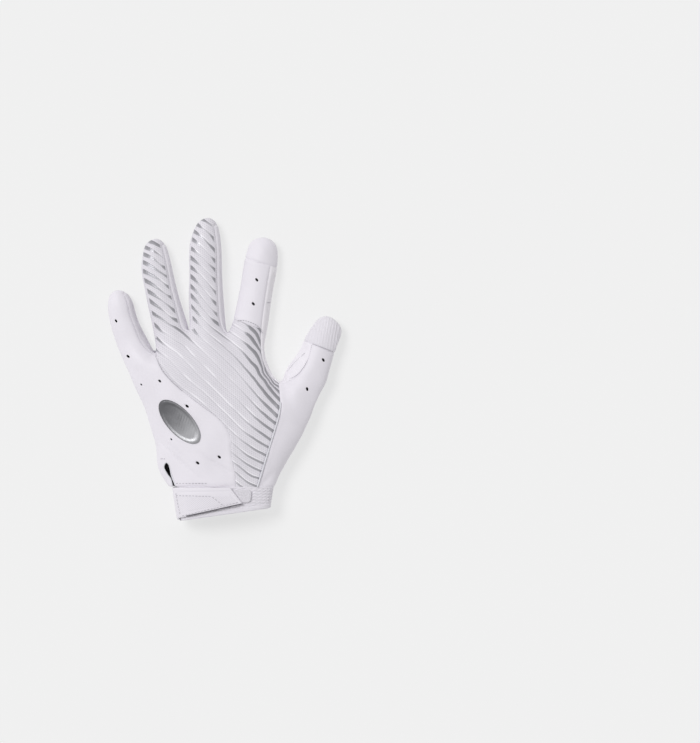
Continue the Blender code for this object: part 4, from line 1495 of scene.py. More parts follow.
def settle(obj: Object, slot: str, *nodes: str) -> Object:
    """Lets a piece ride on the glove, hides the nodes that it replaces and logs its size.

    Args:
        obj: the piece.
        slot: not used.
        nodes: the nodes that it replaces.

    Returns:
        The piece.
    """
    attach(obj, BODY)
    if nodes:
        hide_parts(*nodes)
    count = sum(len(face.vertices) - 2 for face in obj.data.polygons)
    LOG.info("%s: %d triangles", obj.name, count)
    return obj


def carry(obj: Object, name: str, numbers: Points) -> None:
    """Gives a mesh a number at each of its points."""
    layer = obj.data.attributes.new(name, "FLOAT", "POINT")
    layer.data.foreach_set("value", np.asarray(numbers, np.float32))


def mesh_points(obj: Object) -> Points:
    """Reads an object's points.

    Args:
        obj: the object.

    Returns:
        The points in millimetres.
    """
    points = np.empty(len(obj.data.vertices) * 3)
    obj.data.vertices.foreach_get("co", points)
    return points.reshape(-1, 3) / MM


def mesh_tree(obj: Object) -> BVHTree:
    """A tree for casting rays on an object, in millimetres."""
    return BVHTree.FromPolygons(mesh_points(obj).tolist(), [face.vertices for face in obj.data.polygons])


def strip(first: int, sides: int, later: int) -> list[Face]:
    """Quads from the ring of points that starts at first to the one that starts later."""
    return [[first + k, first + k + later, first + (k + 1) % sides + later, first + (k + 1) % sides]
            for k in range(sides)]


def dropped(tree: BVHTree, spot: Sequence[float]) -> tuple:
    """The point of a surface that lies under a plan point, and its normal."""
    return tree.ray_cast(Vector((*spot, ABOVE)), Vector((0, 0, -1)))[:2]


def face_outwards(obj: Object) -> None:
    """Turns every face of a closed mesh outwards.

    Args:
        obj: the object.
    """
    mesh = bmesh.new()
    mesh.from_mesh(obj.data)
    bmesh.ops.recalc_face_normals(mesh, faces=mesh.faces)
    mesh.to_mesh(obj.data)
    mesh.free()


def swept(line: Points, normals: Points, radius: float, sides: int) -> tuple:
    """A tube along a line.

    Args:
        line: its centre line.
        normals: the surface's normals along it.
        radius: its radius.
        sides: the number of its sides.

    Returns:
        Points and faces of the closed tube.
    """
    count = len(line)
    ahead = np.gradient(line, axis=0)
    ahead /= np.linalg.norm(ahead, axis=1)[:, None]
    side = np.cross(ahead, normals)
    side /= np.linalg.norm(side, axis=1)[:, None]
    up = np.cross(side, ahead)
    turns = 2 * pi * np.arange(sides) / sides
    shrink = np.ones(count)
    shrink[[0, -1]] = TIP_SHRINK
    rings = [line + shrink[:, None] * radius * (side * cos(turn) + up * sin(turn)) for turn in turns]
    points = np.stack(rings, axis=1).reshape(-1, 3)
    faces = [list(range(sides)), [(count - 1) * sides + k for k in reversed(range(sides))]]
    for ring in range(count - 1):
        faces += strip(ring * sides, sides, sides)
    return points, faces


# Panels


@dataclass(frozen=True)
class Hole:
    """A perforation: its pixel, its size as a share of the full one, and the turn of its long axis."""

    pixel: Pixel
    size: float
    turn: float


@dataclass
class ClothPanel:
    """A panel of cloth with a wall, an inner face painted dark as shade, and turned seams."""

    panel: Panel
    slot: str
    finish: bpy.types.Material
    lining: bpy.types.Material
    flat: tuple[float, float]
    cut_share: float
    reliefs: tuple[Relief, ...] = ()
    wall: float = 1.3
    gap: float = 0.04
    hem: float = 1.6
    holes: tuple[Hole, ...] = ()
    hole_length: float = 3.0
    hole_width: float = 1.7
    slit: tuple[Pixel, ...] = ()
    cut_from: float = 8.8
    cut_to: float = 60.0
    hole_sides: int = 20

    def build(self, surface: GloveSurface) -> Object:
        """Models the panel and cuts its holes.

        Args:
            surface: the glove's surface.

        Returns:
            The piece.
        """
        patch = surface.patch(self.panel)
        raised = sum((relief.height(patch) for relief in self.reliefs), np.zeros(len(patch.points)))
        outer = patch.points + patch.normals * raised[:, None] + self.border_shifts(patch)
        outer[:, 2] = outer[:, 2].clip(0.0)
        inner = outer - patch.normals * self.wall
        count = len(outer)
        quads = patch.faces.tolist()
        faces = quads + [[v + count for v in face[::-1]] for face in quads]
        faces += [[b, a, a + count, b + count] for a, b in patch.border]
        away = nearest(patch.points, patch.points[np.unique(np.array(patch.border))])
        lined = (away[patch.faces] > self.hem).all(axis=1)
        slots = [0] * len(quads) + lined.astype(int).tolist() + [0] * len(patch.border)
        obj = new_piece(self.panel.value + "_cloth", np.vstack([outer, inner]), faces,
                        (self.finish, self.lining), slots, closed=False)
        if self.holes or self.slit:
            self.cut(obj)
        self.dress(obj, patch)
        settle(obj, self.slot, self.panel.value)
        return obj

    def border_shifts(self, patch: Patch) -> Points:
        """How far each point moves into its panel, to leave half of the gap at the seams.

        Args:
            patch: the panel's patch.

        Returns:
            One shift for each point.
        """
        shifts = np.zeros_like(patch.points)
        weight = np.zeros(len(patch.points))
        edges = np.array(patch.border)
        first, second = edges[:, 0], edges[:, 1]
        normal = patch.normals[first] + patch.normals[second]
        side = np.cross(normal, patch.points[second] - patch.points[first])
        side /= np.linalg.norm(side, axis=1)[:, None]
        for ends in (first, second):
            np.add.at(shifts, ends, side)
            np.add.at(weight, ends, 1.0)
        used = weight > 0
        shifts[used] /= weight[used][:, None]
        square = (shifts[used] ** 2).sum(axis=1).clip(0.4)
        shifts[used] *= (self.gap / 2 / square)[:, None]
        return shifts

    def cut(self, obj: Object) -> None:
        """Cuts the upright holes and the slit through the back.

        Args:
            obj: the panel.
        """
        outlines = [self.hole_outline(hole) for hole in self.holes]
        if self.slit:
            outlines.append(PHOTO.line(self.slit + self.slit[:1], 0.6)[:-1])
        points, faces = [], []
        for outline in outlines:
            first, count = len(points), len(outline)
            points += [(x, y, z) for z in (self.cut_from, self.cut_to) for x, y in outline]
            faces.append([first + k for k in reversed(range(count))])
            faces.append([first + count + k for k in range(count)])
            faces += [face[::-1] for face in strip(first, count, count)]
        cutter = new_piece("cutter", points, faces, (self.finish, self.lining), [0] * len(faces))
        boolean = obj.modifiers.new("Holes", "BOOLEAN")
        boolean.object = cutter
        boolean.solver = "EXACT"
        bpy.context.view_layer.update()
        mesh = bpy.data.meshes.new_from_object(obj.evaluated_get(bpy.context.evaluated_depsgraph_get()))
        obj.modifiers.clear()
        obj.data = mesh
        bpy.data.objects.remove(cutter)

    def hole_outline(self, hole: Hole) -> list:
        """The plan outline of a hole.

        Args:
            hole: the hole.

        Returns:
            Its points.
        """
        x, y = PHOTO.at(hole.pixel)
        turn = radians(hole.turn)
        outline = []
        for k in range(self.hole_sides):
            angle = 2 * pi * (k + 0.5) / self.hole_sides
            u = hole.size * self.hole_length / 2 * cos(angle)
            v = hole.size * self.hole_width / 2 * sin(angle)
            outline.append((x + u * cos(turn) - v * sin(turn), y + u * sin(turn) + v * cos(turn)))
        return outline

    def dress(self, obj: Object, patch: Patch) -> None:
        """Gives the mesh the numbers that its finish reads; a plain panel gets none."""


@dataclass
class StripedPanel(ClothPanel):
    """The back panel, with the numbers of its striped print."""

    margin: float = 1.7
    thin: float = 0.55
    thick: float = 3.1
    widest: float = 0.27
    probe: float = 0.2
    near: float = 7.0

    def dress(self, obj: Object, patch: Patch) -> None:
        """Lays the stripes and the foil's strength, partly painted reflection, over the panel.

        Args:
            obj: the panel.
            patch: its patch of the surface.
        """
        phase, foil = PlanField(STRIPES), PlanField(FOIL_AND_REFLECTION_GUIDES)
        plan = mesh_points(obj)[:, :2]
        # the foil's strength: the print's weight with painted reflection
        strength = foil(plan).clip(0.0, 1.0)
        carry(obj, "stripe_phase", phase(plan))
        carry(obj, "foil_and_painted_reflection", strength)
        slope = np.hypot(*[phase(plan + step) - phase(plan - step)
                           for step in ((self.probe, 0.0), (0.0, self.probe))]) / (2 * self.probe)
        width = self.thin + (self.thick - self.thin) * strength
        carry(obj, "stripe_half", (0.5 * width * slope).clip(0.03, self.widest))
        walls = patch.shared[:, [Panel.RING_MIDDLE.rank, Panel.MIDDLE_INDEX.rank]]
        right = patch.points[walls.any(axis=1) & (patch.normals[:, 0] > 0.15)]
        away = nearest(mesh_points(obj), right)
        plain = (away - self.margin) / 0.5
        for edge in PLAIN_EDGES:
            line = np.array([PHOTO.at(pixel) for pixel in edge])[::-1]
            inside = plan[:, 0] - np.interp(plan[:, 1], line[:, 1], line[:, 0])
            along = (plan[:, 1] > line[0, 1]) & (plan[:, 1] < line[-1, 1]) & (np.abs(inside) < self.near)
            plain[along] = np.minimum(plain[along], inside[along] / 0.4)
        carry(obj, "plain_margin", plain.clip(0.0, 1.0))


# The wrist


@dataclass(frozen=True)
class BandStation:
    """A place along a band round the wrist: its angle, its two edges in y and its lift."""

    angle: float
    upper: float
    lower: float
    lift: float


@dataclass
class WristSection:
    """The section of the cuff, and the bands that lie on it."""

    surface: GloveSurface
    cage: HandCage
    taper: float = 4.0
    length_ulnar: float = 26.0
    length_radial: float = 16.0
    power: float = 0.8
    inset: float = 2.8

    def __post_init__(self) -> None:
        """Reads the ends of the wrist row."""
        row = HAND_ROWS[0]
        self.left = self.cage.scaled(row.ulnar)[0] + self.surface.shift[0]
        self.right = self.cage.scaled(row.radial)[0] + self.surface.shift[0]
        self.seam_y = self.surface.shift[1]

    def middle_and_half(self, y: float) -> tuple[float, float]:
        """The section's middle and half its width, at a distance from the wrist seam."""
        half = (self.right - self.left - self.inset) / 2 - self.taper * min(-y / self.length_ulnar, 1.2)
        return (self.left + self.inset + self.right) / 2, half

    def point(self, angle: float, y: float, offset: float) -> tuple[float, float, float]:
        """A point on the section, moved outwards.

        Args:
            angle: 0 at the thumb side and 90 on the back.
            y: the distance from the wrist seam, negative below it.
            offset: how far outwards it lies.

        Returns:
            The point.
        """
        centre, half = self.middle_and_half(y)
        tall = self.cage.wrist_height / 2
        middle = self.cage.wrist_bottom + tall
        turned = radians(angle)
        x = copysign(half * abs(cos(turned)) ** self.power, cos(turned))
        z = copysign(tall * abs(sin(turned)) ** self.power, sin(turned))
        slope_x = copysign(abs(x / half) ** 1.5, x) / half
        slope_z = copysign(abs(z / tall) ** 1.5, z) / tall
        out = offset / hypot(slope_x, slope_z)
        return (centre + x + out * slope_x, self.seam_y + y, middle + z + out * slope_z)

    def angle(self, x: float, y: float, back: bool = True) -> float:
        """The angle at which the section reaches an x.

        Args:
            x: the place across the plan.
            y: the distance from the wrist seam.
            back: whether the back or the palm side is meant.

        Returns:
            The angle in degrees.
        """
        centre, half = self.middle_and_half(y)
        share = max(-1.0, min(1.0, (x - centre) / half))
        across = copysign(abs(share) ** (1 / self.power), share)
        turned = 90 - degrees(atan2(across, (1 - min(across * across, 1.0)) ** 0.5))
        return turned if back else -turned

    def hem(self, x: float) -> float:
        """The slanted hem's distance from the wrist seam at an x."""
        share = (x - self.left) / (self.right - self.left)
        return -self.length_ulnar + (self.length_ulnar - self.length_radial) * share


@dataclass
class Band:
    """A band of cloth round the wrist, with rounded edges."""

    section: WristSection
    name: str
    stations: list
    wall: float
    across: int = 24
    relief: Callable[[float, float, float], float] | None = None
    # the lower rim up to this angle is painted dark as the shadow under the tab's edge
    painted_shadow_rim_to: float = -360.0

    def mesh(self, finish: Material, lining: Material) -> Object:
        """Models the band.

        Args:
            finish: the outer face's material.
            lining: the inner face's material.

        Returns:
            The object.
        """
        rounds = (0.25, 0.5, 0.75)
        rings, marks = [], []
        for station in self.stations:
            ring = [self.place(station, k / self.across, 1.0) for k in range(self.across + 1)]
            ring += [self.rim(station, 1.0, 1 - part) for part in rounds]
            ring += [self.place(station, 1 - k / self.across, 0.0) for k in range(self.across + 1)]
            ring += [self.rim(station, 0.0, part) for part in rounds]
            rings.append(ring)
        size = len(rings[0])
        faces = []
        for ring in range(len(rings) - 1):
            for k in range(size):
                after = (k + 1) % size
                faces.append([ring * size + k, ring * size + after,
                              (ring + 1) * size + after, (ring + 1) * size + k])
                # Inner faces take the dark lining; so does the lower rim of the tab, as a painted shadow in
                # the gap under its edge.
                inside = self.across + 3 < k < 2 * self.across + 4
                under = self.across - 1 < k <= self.across + 3
                painted_shadow = under and self.stations[ring].angle < self.painted_shadow_rim_to
                marks.append(1 if inside or painted_shadow else 0)
        for ring, turn in ((0, 1), (len(rings) - 1, -1)):
            face = [ring * size + k for k in range(size)][::-turn]
            faces.append(face)
            marks.append(0)
        points = [point for ring in rings for point in ring]
        return new_piece(self.name, points, faces, (finish, lining), marks)

    def place(self, station: BandStation, share: float, side: float) -> tuple:
        """A point on the outer (side 1) or the inner (side 0) face of the band.

        Args:
            station: the place along the band.
            share: the share of the way from its upper to its lower edge.
            side: 1 outside and 0 inside.

        Returns:
            The point.
        """
        inset = min(self.wall / 2, (station.upper - station.lower) / 3)
        upper, lower = station.upper - inset, station.lower + inset
        y = upper + (lower - upper) * share
        offset = station.lift + self.wall * side
        if side > 0 and self.relief is not None:
            offset += self.relief(station.angle, y, share)
        return self.section.point(station.angle, y, offset)

    def rim(self, station: BandStation, share: float, side: float) -> tuple:
        """A point on a rounded edge.

        Args:
            station: the place along the band.
            share: 0 for the upper and 1 for the lower edge.
            side: from 1 outside to 0 inside.

        Returns:
            The point.
        """
        inset = min(self.wall / 2, (station.upper - station.lower) / 3)
        turn = pi * side
        bulge = inset * sin(turn)
        y = station.upper - inset + bulge if share == 0.0 else station.lower + inset - bulge
        return self.section.point(station.angle, y, station.lift + self.wall * (0.5 - 0.5 * cos(turn)))


@dataclass
class WristCuff:
    """The knit cuff, open at the slit, with a turned hem."""

    section: WristSection
    gap: float = 0.3
    top: float = 0.25
    wall: float = 1.6
    slit_width: float = 3.8
    steps: int = 300
    rib_pitch: float = 2.3
    rib_depth: float = 0.32
    hem_width: float = 3.6
    groove: float = 0.35
    wave_pitch: float = 11.0

    def build(self, knit: Material, lining: Material) -> Object:
        """Models the cuff.

        Args:
            knit: its material.
            lining: its inner face's material.

        Returns:
            The piece.
        """
        section = self.section
        start, end = self.slit_angle(-1), self.slit_angle(1) + 360
        stations = []
        for k in range(self.steps + 1):
            angle = start + (end - start) * k / self.steps
            x = section.point(angle, -self.gap, 0)[0]
            stations.append(BandStation(angle, self.top, section.hem(x), -self.wall))
        band = Band(section, "wrist_cuff_knit", stations, self.wall, 28, self.ribs)
        obj = band.mesh(knit, lining)
        settle(obj, "rib_knit", "cuff")
        return obj

    def slit_angle(self, side: int) -> float:
        """Where the slit starts (-1) or ends (1)."""
        x = self.section.left + (0.8 + 0.35 * side) * self.slit_width
        return self.section.angle(x, -self.gap)

    def ribs(self, angle: float, y: float, share: float) -> float:
        """Wavy ribs above the plain hem.

        Args:
            angle: the place round the wrist.
            y: the distance from the wrist seam.
            share: the share of the way down.

        Returns:
            How far the face is raised.
        """
        x = self.section.point(angle, y, 0)[0]
        above_hem = y - self.section.hem(x)
        ribbed = min(max((above_hem - self.hem_width) / 0.8, 0.0), 1.0) * min(max(-y / 1.6, 0.0), 1.0)
        wave = 0.5 * sin(2 * pi * angle / self.wave_pitch)
        groove = -self.groove if abs(above_hem - self.hem_width) < self.groove else 0.0
        rib = cos(2 * pi * (y + wave) / self.rib_pitch)
        return ribbed * self.rib_depth * rib - self.rib_depth * ribbed + groove


@dataclass
class WristStrap:
    """The strap: a pointed tab on the back that wraps the ulnar edge to its sewn tail."""

    section: WristSection
    gap: float = 0.3
    wall: float = 1.6
    width: float = 24.5
    tab_length: float = 54.0
    end_width: float = 11.5
    point: float = 9.0
    tail: float = 34.0
    pad_wall: float = 1.0
    hem_margin: float = 0.8
    border: float = 3.2
    pressed: float = 0.22
    plain_top: float = 6.6
    plain_end: float = 3.4
    # up to this angle the tab's lower rim is painted dark as shadow
    rim_to: float = 138.0

    def build(self, twill: Material, lining: Material) -> Object:
        """Models the strap.

        Args:
            twill: its material.
            lining: its inner face's material.

        Returns:
            The piece.
        """
        band = Band(self.section, "wrist_strap_tab", self.stations(), self.wall, 30, self.relief,
                    self.rim_to)
        obj = band.mesh(twill, lining)
        self.dress(obj)
        settle(obj, "strap_cloth", "wrist_strap")
        return obj

    def stations(self) -> list:
        """The strap's stations, from the tab's point to the sewn tail.

        Returns:
            The stations.
        """
        section = self.section
        top = -self.gap
        point_x = section.left + self.tab_length
        shoulder_x = point_x - self.point
        point_y = top - self.end_width
        lift = 2 * self.gap + self.pad_wall
        found = []
        for x in np.concatenate([np.linspace(point_x - 0.3, shoulder_x, 26),
                                 np.linspace(shoulder_x - 0.5, section.left + section.inset + 3.0, 90)]):
            share = (point_x - x) / self.tab_length
            upper = top if x <= shoulder_x else top - self.end_width * (x - shoulder_x) / self.point
            lower = point_y - 1.0 + (top - self.width - point_y + 1.0) * share
            found.append((section.angle(x, (upper + lower) / 2), upper, lower))
        first = found[-1][0]
        last = 360 + section.angle(section.left + self.tail, top - self.width / 2, back=False)
        for angle in np.linspace(first, last, 90)[1:]:
            lower = section.hem(section.point(angle, top, 0)[0]) + self.hem_margin
            found.append((angle, top, max(top - self.width, lower)))
        return [BandStation(angle, upper, lower, self.lift(angle, lift)) for angle, upper, lower in found]

    def lift(self, angle: float, full: float) -> float:
        """How far the strap lies off the cuff: over the pad, and down to the cuff past the edge."""
        share = min(max((angle - 135) / 45, 0.0), 1.0)
        return full + (self.gap - full) * share

    def relief(self, angle: float, y: float, share: float) -> float:
        """A pressed line inside the border of the tab."""
        edge = min(share, 1 - share) * self.width
        return -self.pressed if abs(edge - self.border) < 0.5 and angle < 180 else 0.0

    def dress(self, obj: Object) -> None:
        """Marks the plain upper and end borders of the tab.

        Args:
            obj: the strap.
        """
        points = mesh_points(obj)
        top = self.section.seam_y - self.gap
        slant = points[:, 0] - (self.section.left + self.tab_length - self.point)
        upper = (top - points[:, 1] < self.plain_top) & (slant < 0)
        end = slant - (top - points[:, 1]) * self.point / self.end_width > -self.plain_end
        carry(obj, "plain_border", (upper | end).astype(float))


@dataclass
class LoopPad:
    """The pad of loops under the tab."""

    section: WristSection
    gap: float = 0.3
    wall: float = 1.0
    length: float = 46.0
    width: float = 9.5
    beyond_tab: float = 7.0
    inset: float = 1.5
    tab_length: float = 54.0

    def build(self, pile: Material) -> Object:
        """Models the pad.

        Args:
            pile: its material.

        Returns:
            The piece.
        """
        end_x = self.section.left + self.tab_length + self.beyond_tab
        upper = -2 * self.gap - self.inset
        stations = []
        for x in np.linspace(end_x, end_x - self.length, 90):
            corner = min((end_x - x) / 2.0, 1.0)
            trim = 1.6 * (1 - corner) ** 2
            stations.append(BandStation(self.section.angle(x, upper), upper - trim,
                                        upper - self.width + trim, self.gap))
        band = Band(self.section, "strap_loop_pad_pile", stations, self.wall, 20, self.tufts)
        obj = band.mesh(pile, pile)
        settle(obj, "hook_and_loop", "strap_loop_pad")
        return obj

    def tufts(self, angle: float, y: float, share: float) -> float:
        """Small uneven tufts."""
        return 0.12 * sin(angle * 9.7 + sin(y * 5.1) * 2) * cos(y * 7.3 + angle * 2.3)


# Trim


@dataclass
class SeamPiping:
    """The cord along the seam between the striped back and the thumb panel."""

    surface: GloveSurface
    radius: float = 0.6
    gap: float = 0.3
    sunk: float = 0.35
    left_out: int = 14
    step: float = 0.45
    sides: int = 10
    twist: float = 0.10

    def build(self, cord: Material) -> Object:
        """Models the cord.

        Args:
            cord: its material.

        Returns:
            The piece.
        """
        pair = [Panel.BACK.rank, Panel.THUMB_BACK.rank]
        seam = np.flatnonzero(self.surface.members[:, pair].all(axis=1))
        seam = seam[np.argsort(self.surface.points[seam, 1])][:-self.left_out]
        normals = self.surface.normals[seam]
        line = self.surface.points[seam] + normals * (self.radius + self.gap - self.sunk)
        fine = spaced(np.hstack([line, normals]), self.step)
        beads = 1.0 + self.twist * np.sin(2 * pi * np.arange(len(fine)) / 5)
        points, faces = swept(fine[:, :3], fine[:, 3:], self.radius, self.sides)
        centres = np.repeat(fine[:, :3], self.sides, axis=0)
        points = centres + (points - centres) * np.repeat(beads, self.sides)[:, None]
        obj = new_piece("thumb_seam_cord", points, faces, (cord,))
        return settle(obj, "piping_cord", "thumb_seam_piping")


@dataclass
class BackBadge:
    """A blank oval of silver-grey film with a raised rim."""

    tree: BVHTree
    pixel: Pixel = (180.5, 421.6)
    turn: float = -47.0
    length: float = 42.0
    width: float = 19.0
    thickness: float = 0.8
    gap: float = 0.3
    field: float = 0.52
    rim_at: float = 0.90
    rim_half: float = 0.09
    groove: float = 0.06
    groove_pitch: float = 2.4
    rings: int = 22
    sides: int = 96

    def build(self, film: Material) -> Object:
        """Models the badge.

        Args:
            film: its material.

        Returns:
            The piece.
        """
        centre = PHOTO.at(self.pixel)
        turn = radians(self.turn)
        low, high, along, across = [], [], [], []
        for ring in range(self.rings + 1):
            share = ring / self.rings
            for k in range(self.sides if ring else 1):
                angle = 2 * pi * k / self.sides
                u, v = share * self.length / 2 * cos(angle), share * self.width / 2 * sin(angle)
                x = centre[0] + u * cos(turn) - v * sin(turn)
                y = centre[1] + u * sin(turn) + v * cos(turn)
                place, normal = dropped(self.tree, (x, y))
                low.append(place - normal * self.gap)
                high.append(place + normal * (self.gap + self.profile(share, u, v)))
                along.append(u)
                across.append(v)
        faces = self.faces(len(low))
        obj = new_piece("back_badge_film", [*high, *low], faces, (film,), sharp=35.0)
        carry(obj, "badge_along", along + along)
        carry(obj, "badge_across", across + across)
        return settle(obj, "badge_film", "back_badge")

    def profile(self, share: float, u: float, v: float) -> float:
        """The film's height: a domed rim round a lower field with fine grooves.

        Args:
            share: the share of the way from the middle to the edge.
            u: the place along.
            v: the place across.

        Returns:
            The height above the cloth.
        """
        rim = max(0.0, 1 - ((share - self.rim_at) / self.rim_half) ** 2)
        field_height = self.field * self.thickness
        waves = cos(2 * pi * (u + v * 0.6) / self.groove_pitch)
        grooves = self.groove * waves if share < 0.78 else 0.0
        edge = 0.0 if share > 0.995 else field_height
        return edge + grooves + rim ** 0.5 * (self.thickness - field_height)

    def faces(self, count: int) -> list:
        """The faces of the top, the bottom and the edge.

        Args:
            count: the number of points on the top.

        Returns:
            The faces.
        """
        sides = self.sides
        top = [[0, 1 + k, 1 + (k + 1) % sides] for k in range(sides)]
        for ring in range(self.rings - 1):
            top += strip(1 + ring * sides, sides, sides)
        under = [[v + count for v in face[::-1]] for face in top]
        return top + under + strip(1 + (self.rings - 1) * sides, sides, count)


@dataclass(frozen=True)
class StitchRow:
    """A row of stitches along pixels: their length, the space between them and their thickness."""

    pixels: tuple[Pixel, ...]
    length: float = 1.7
    space: float = 0.8
    radius: float = 0.17
    lift: float = 0.1
    turn: float = 0.0


@dataclass
class Stitching:
    """All the stitches of one thread, as one joined mesh on the surface."""

    name: str
    slot: str
    rows: tuple[StitchRow, ...]
    tree: BVHTree

    def build(self, thread: Material) -> Object:
        """Models the stitches.

        Args:
            thread: their material.

        Returns:
            The piece.
        """
        points, faces = [], []
        for row in self.rows:
            line = PHOTO.line(row.pixels, row.length + row.space)
            for first, second in zip(line, line[1:]):
                stitch = self.stitch(row, first, second)
                if stitch is None:
                    continue
                faces += [[v + len(points) for v in face] for face in stitch[1]]
                points += stitch[0].tolist()
        obj = new_piece(self.name, np.array(points), faces, (thread,))
        return settle(obj, self.slot)

    def stitch(self, row: StitchRow, first: Points, second: Points) -> tuple | None:
        """One stitch: a short capsule bowed over the cloth.

        Args:
            row: its row.
            first: the plan point where its step starts.
            second: the plan point where its step ends.

        Returns:
            Points and faces, or nothing past the surface's edge.
        """
        middle = (first + second) / 2
        ahead = (second - first) / np.linalg.norm(second - first)
        c, s = cos(radians(row.turn)), sin(radians(row.turn))
        ahead = np.array((ahead[0] * c - ahead[1] * s, ahead[0] * s + ahead[1] * c))
        line, normals = [], []
        for share in (-0.5, -0.4, -0.15, 0.15, 0.4, 0.5):
            spot = middle + ahead * share * row.length
            place, normal = dropped(self.tree, spot)
            if place is None:
                return None
            bow = row.lift + row.radius * (1.1 - 7.0 * share * share)
            line.append(place + normal * bow)
            normals.append(normal)
        return swept(np.array(line), np.array(normals), row.radius, 6)


@dataclass
class SlitBinding:
    """The bound edge round the slit."""

    tree: BVHTree
    pixels: tuple[Pixel, ...]
    radius: float = 0.55

    def build(self, cord: Material) -> Object:
        """Models the binding.

        Args:
            cord: its material.

        Returns:
            The piece.
        """
        line, normals = [], []
        for spot in PHOTO.line(self.pixels, 0.5):
            place, normal = dropped(self.tree, spot)
            if place is not None:
                line.append(place - normal * 0.1)
                normals.append(normal)
        points, faces = swept(np.array(line), np.array(normals), self.radius, 10)
        obj = new_piece("slit_binding", points, faces, (cord,))
        return settle(obj, "piping_cord")


# The studio


@dataclass
class Studio:
    """The floor, the lights and the camera."""

    floor_size: float = 12.0
    lens: float = 200.0
    sensor: float = 36.0
    image_width: int = 700
    image_height: int = 743
    glove_height: float = 9.0
    ambient: float = 0.53
    sun_strength: float = 1.44
    sun_angle: float = 25.0
    sun_from: tuple[float, float, float] = (-0.53, 0.38, 1.0)

    def build(self) -> None:
        """Sets up the studio."""
        self.add_floor()
        self.add_lights()
        self.add_camera()

    def add_floor(self) -> None:
        """Lays the floor."""
        half = self.floor_size / 2 / MM
        corners = [(-half, -half, 0), (half, -half, 0), (half, half, 0), (-half, half, 0)]
        paper = StudioPaper().make()
        floor = new_piece("studio_floor", np.array(corners, float), [[0, 1, 2, 3]], (paper,), closed=False)
        floor.location.z = -0.0002

    def add_lights(self) -> None:
        """Hangs one broad soft light on the upper left in even light from all round."""
        world = bpy.data.worlds.new("studio")
        bpy.context.scene.world = world
        world.use_nodes = True
        background = world.node_tree.nodes["Background"]
        background.inputs["Color"].default_value = (1.0, 1.0, 1.0, 1.0)
        background.inputs["Strength"].default_value = self.ambient
        lamp = bpy.data.lights.new("soft_key", "SUN")
        lamp.energy = self.sun_strength
        lamp.angle = radians(self.sun_angle)
        key = bpy.data.objects.new("soft_key", lamp)
        key.rotation_euler = Vector(self.sun_from).to_track_quat("Z", "Y").to_euler()
        bpy.context.scene.collection.objects.link(key)

    def add_camera(self) -> None:
        """Looks straight down, with the glove where it lies in the photograph."""
        tall = self.image_height * PHOTO.scale * MM
        distance = tall * self.lens / self.sensor
        data = bpy.data.cameras.new("camera")
        data.lens = self.lens
        data.sensor_width = self.sensor
        data.clip_end = 50.0
        camera = bpy.data.objects.new("camera", data)
        x, y = PHOTO.at((self.image_width / 2, self.image_height / 2))
        camera.location = (x * MM, y * MM, self.glove_height * MM + distance)
        bpy.context.scene.collection.objects.link(camera)
        bpy.context.scene.camera = camera
        bpy.context.scene.view_settings.view_transform = "Standard"


SIDE_HOLES = (
    Hole((116.4, 321), 0.9, -60), Hole((128.5, 356.4), 1, -40), Hole((160.6, 381), 0.9, -45),
    Hole((141.9, 384.5), 0.6, -45), Hole((188, 406), 1, -40), Hole((172.1, 439), 0.6, -45),
    Hole((220, 456.5), 1, -40), Hole((198.5, 462.5), 1, -40),
)
INDEX_HOLES = (Hole((257, 280), 1, -50), Hole((253.6, 304), 1, -50))
THUMB_HOLES = (Hole((323.4, 360), 1, -60), Hole((307.3, 389), 1, -75))
SLIT_PIXELS = ((166.4, 462), (169.4, 463.8), (171, 469), (172.5, 476), (176.8, 486.6),
               (173, 486.6), (171.2, 479), (167.6, 474), (164.2, 467))


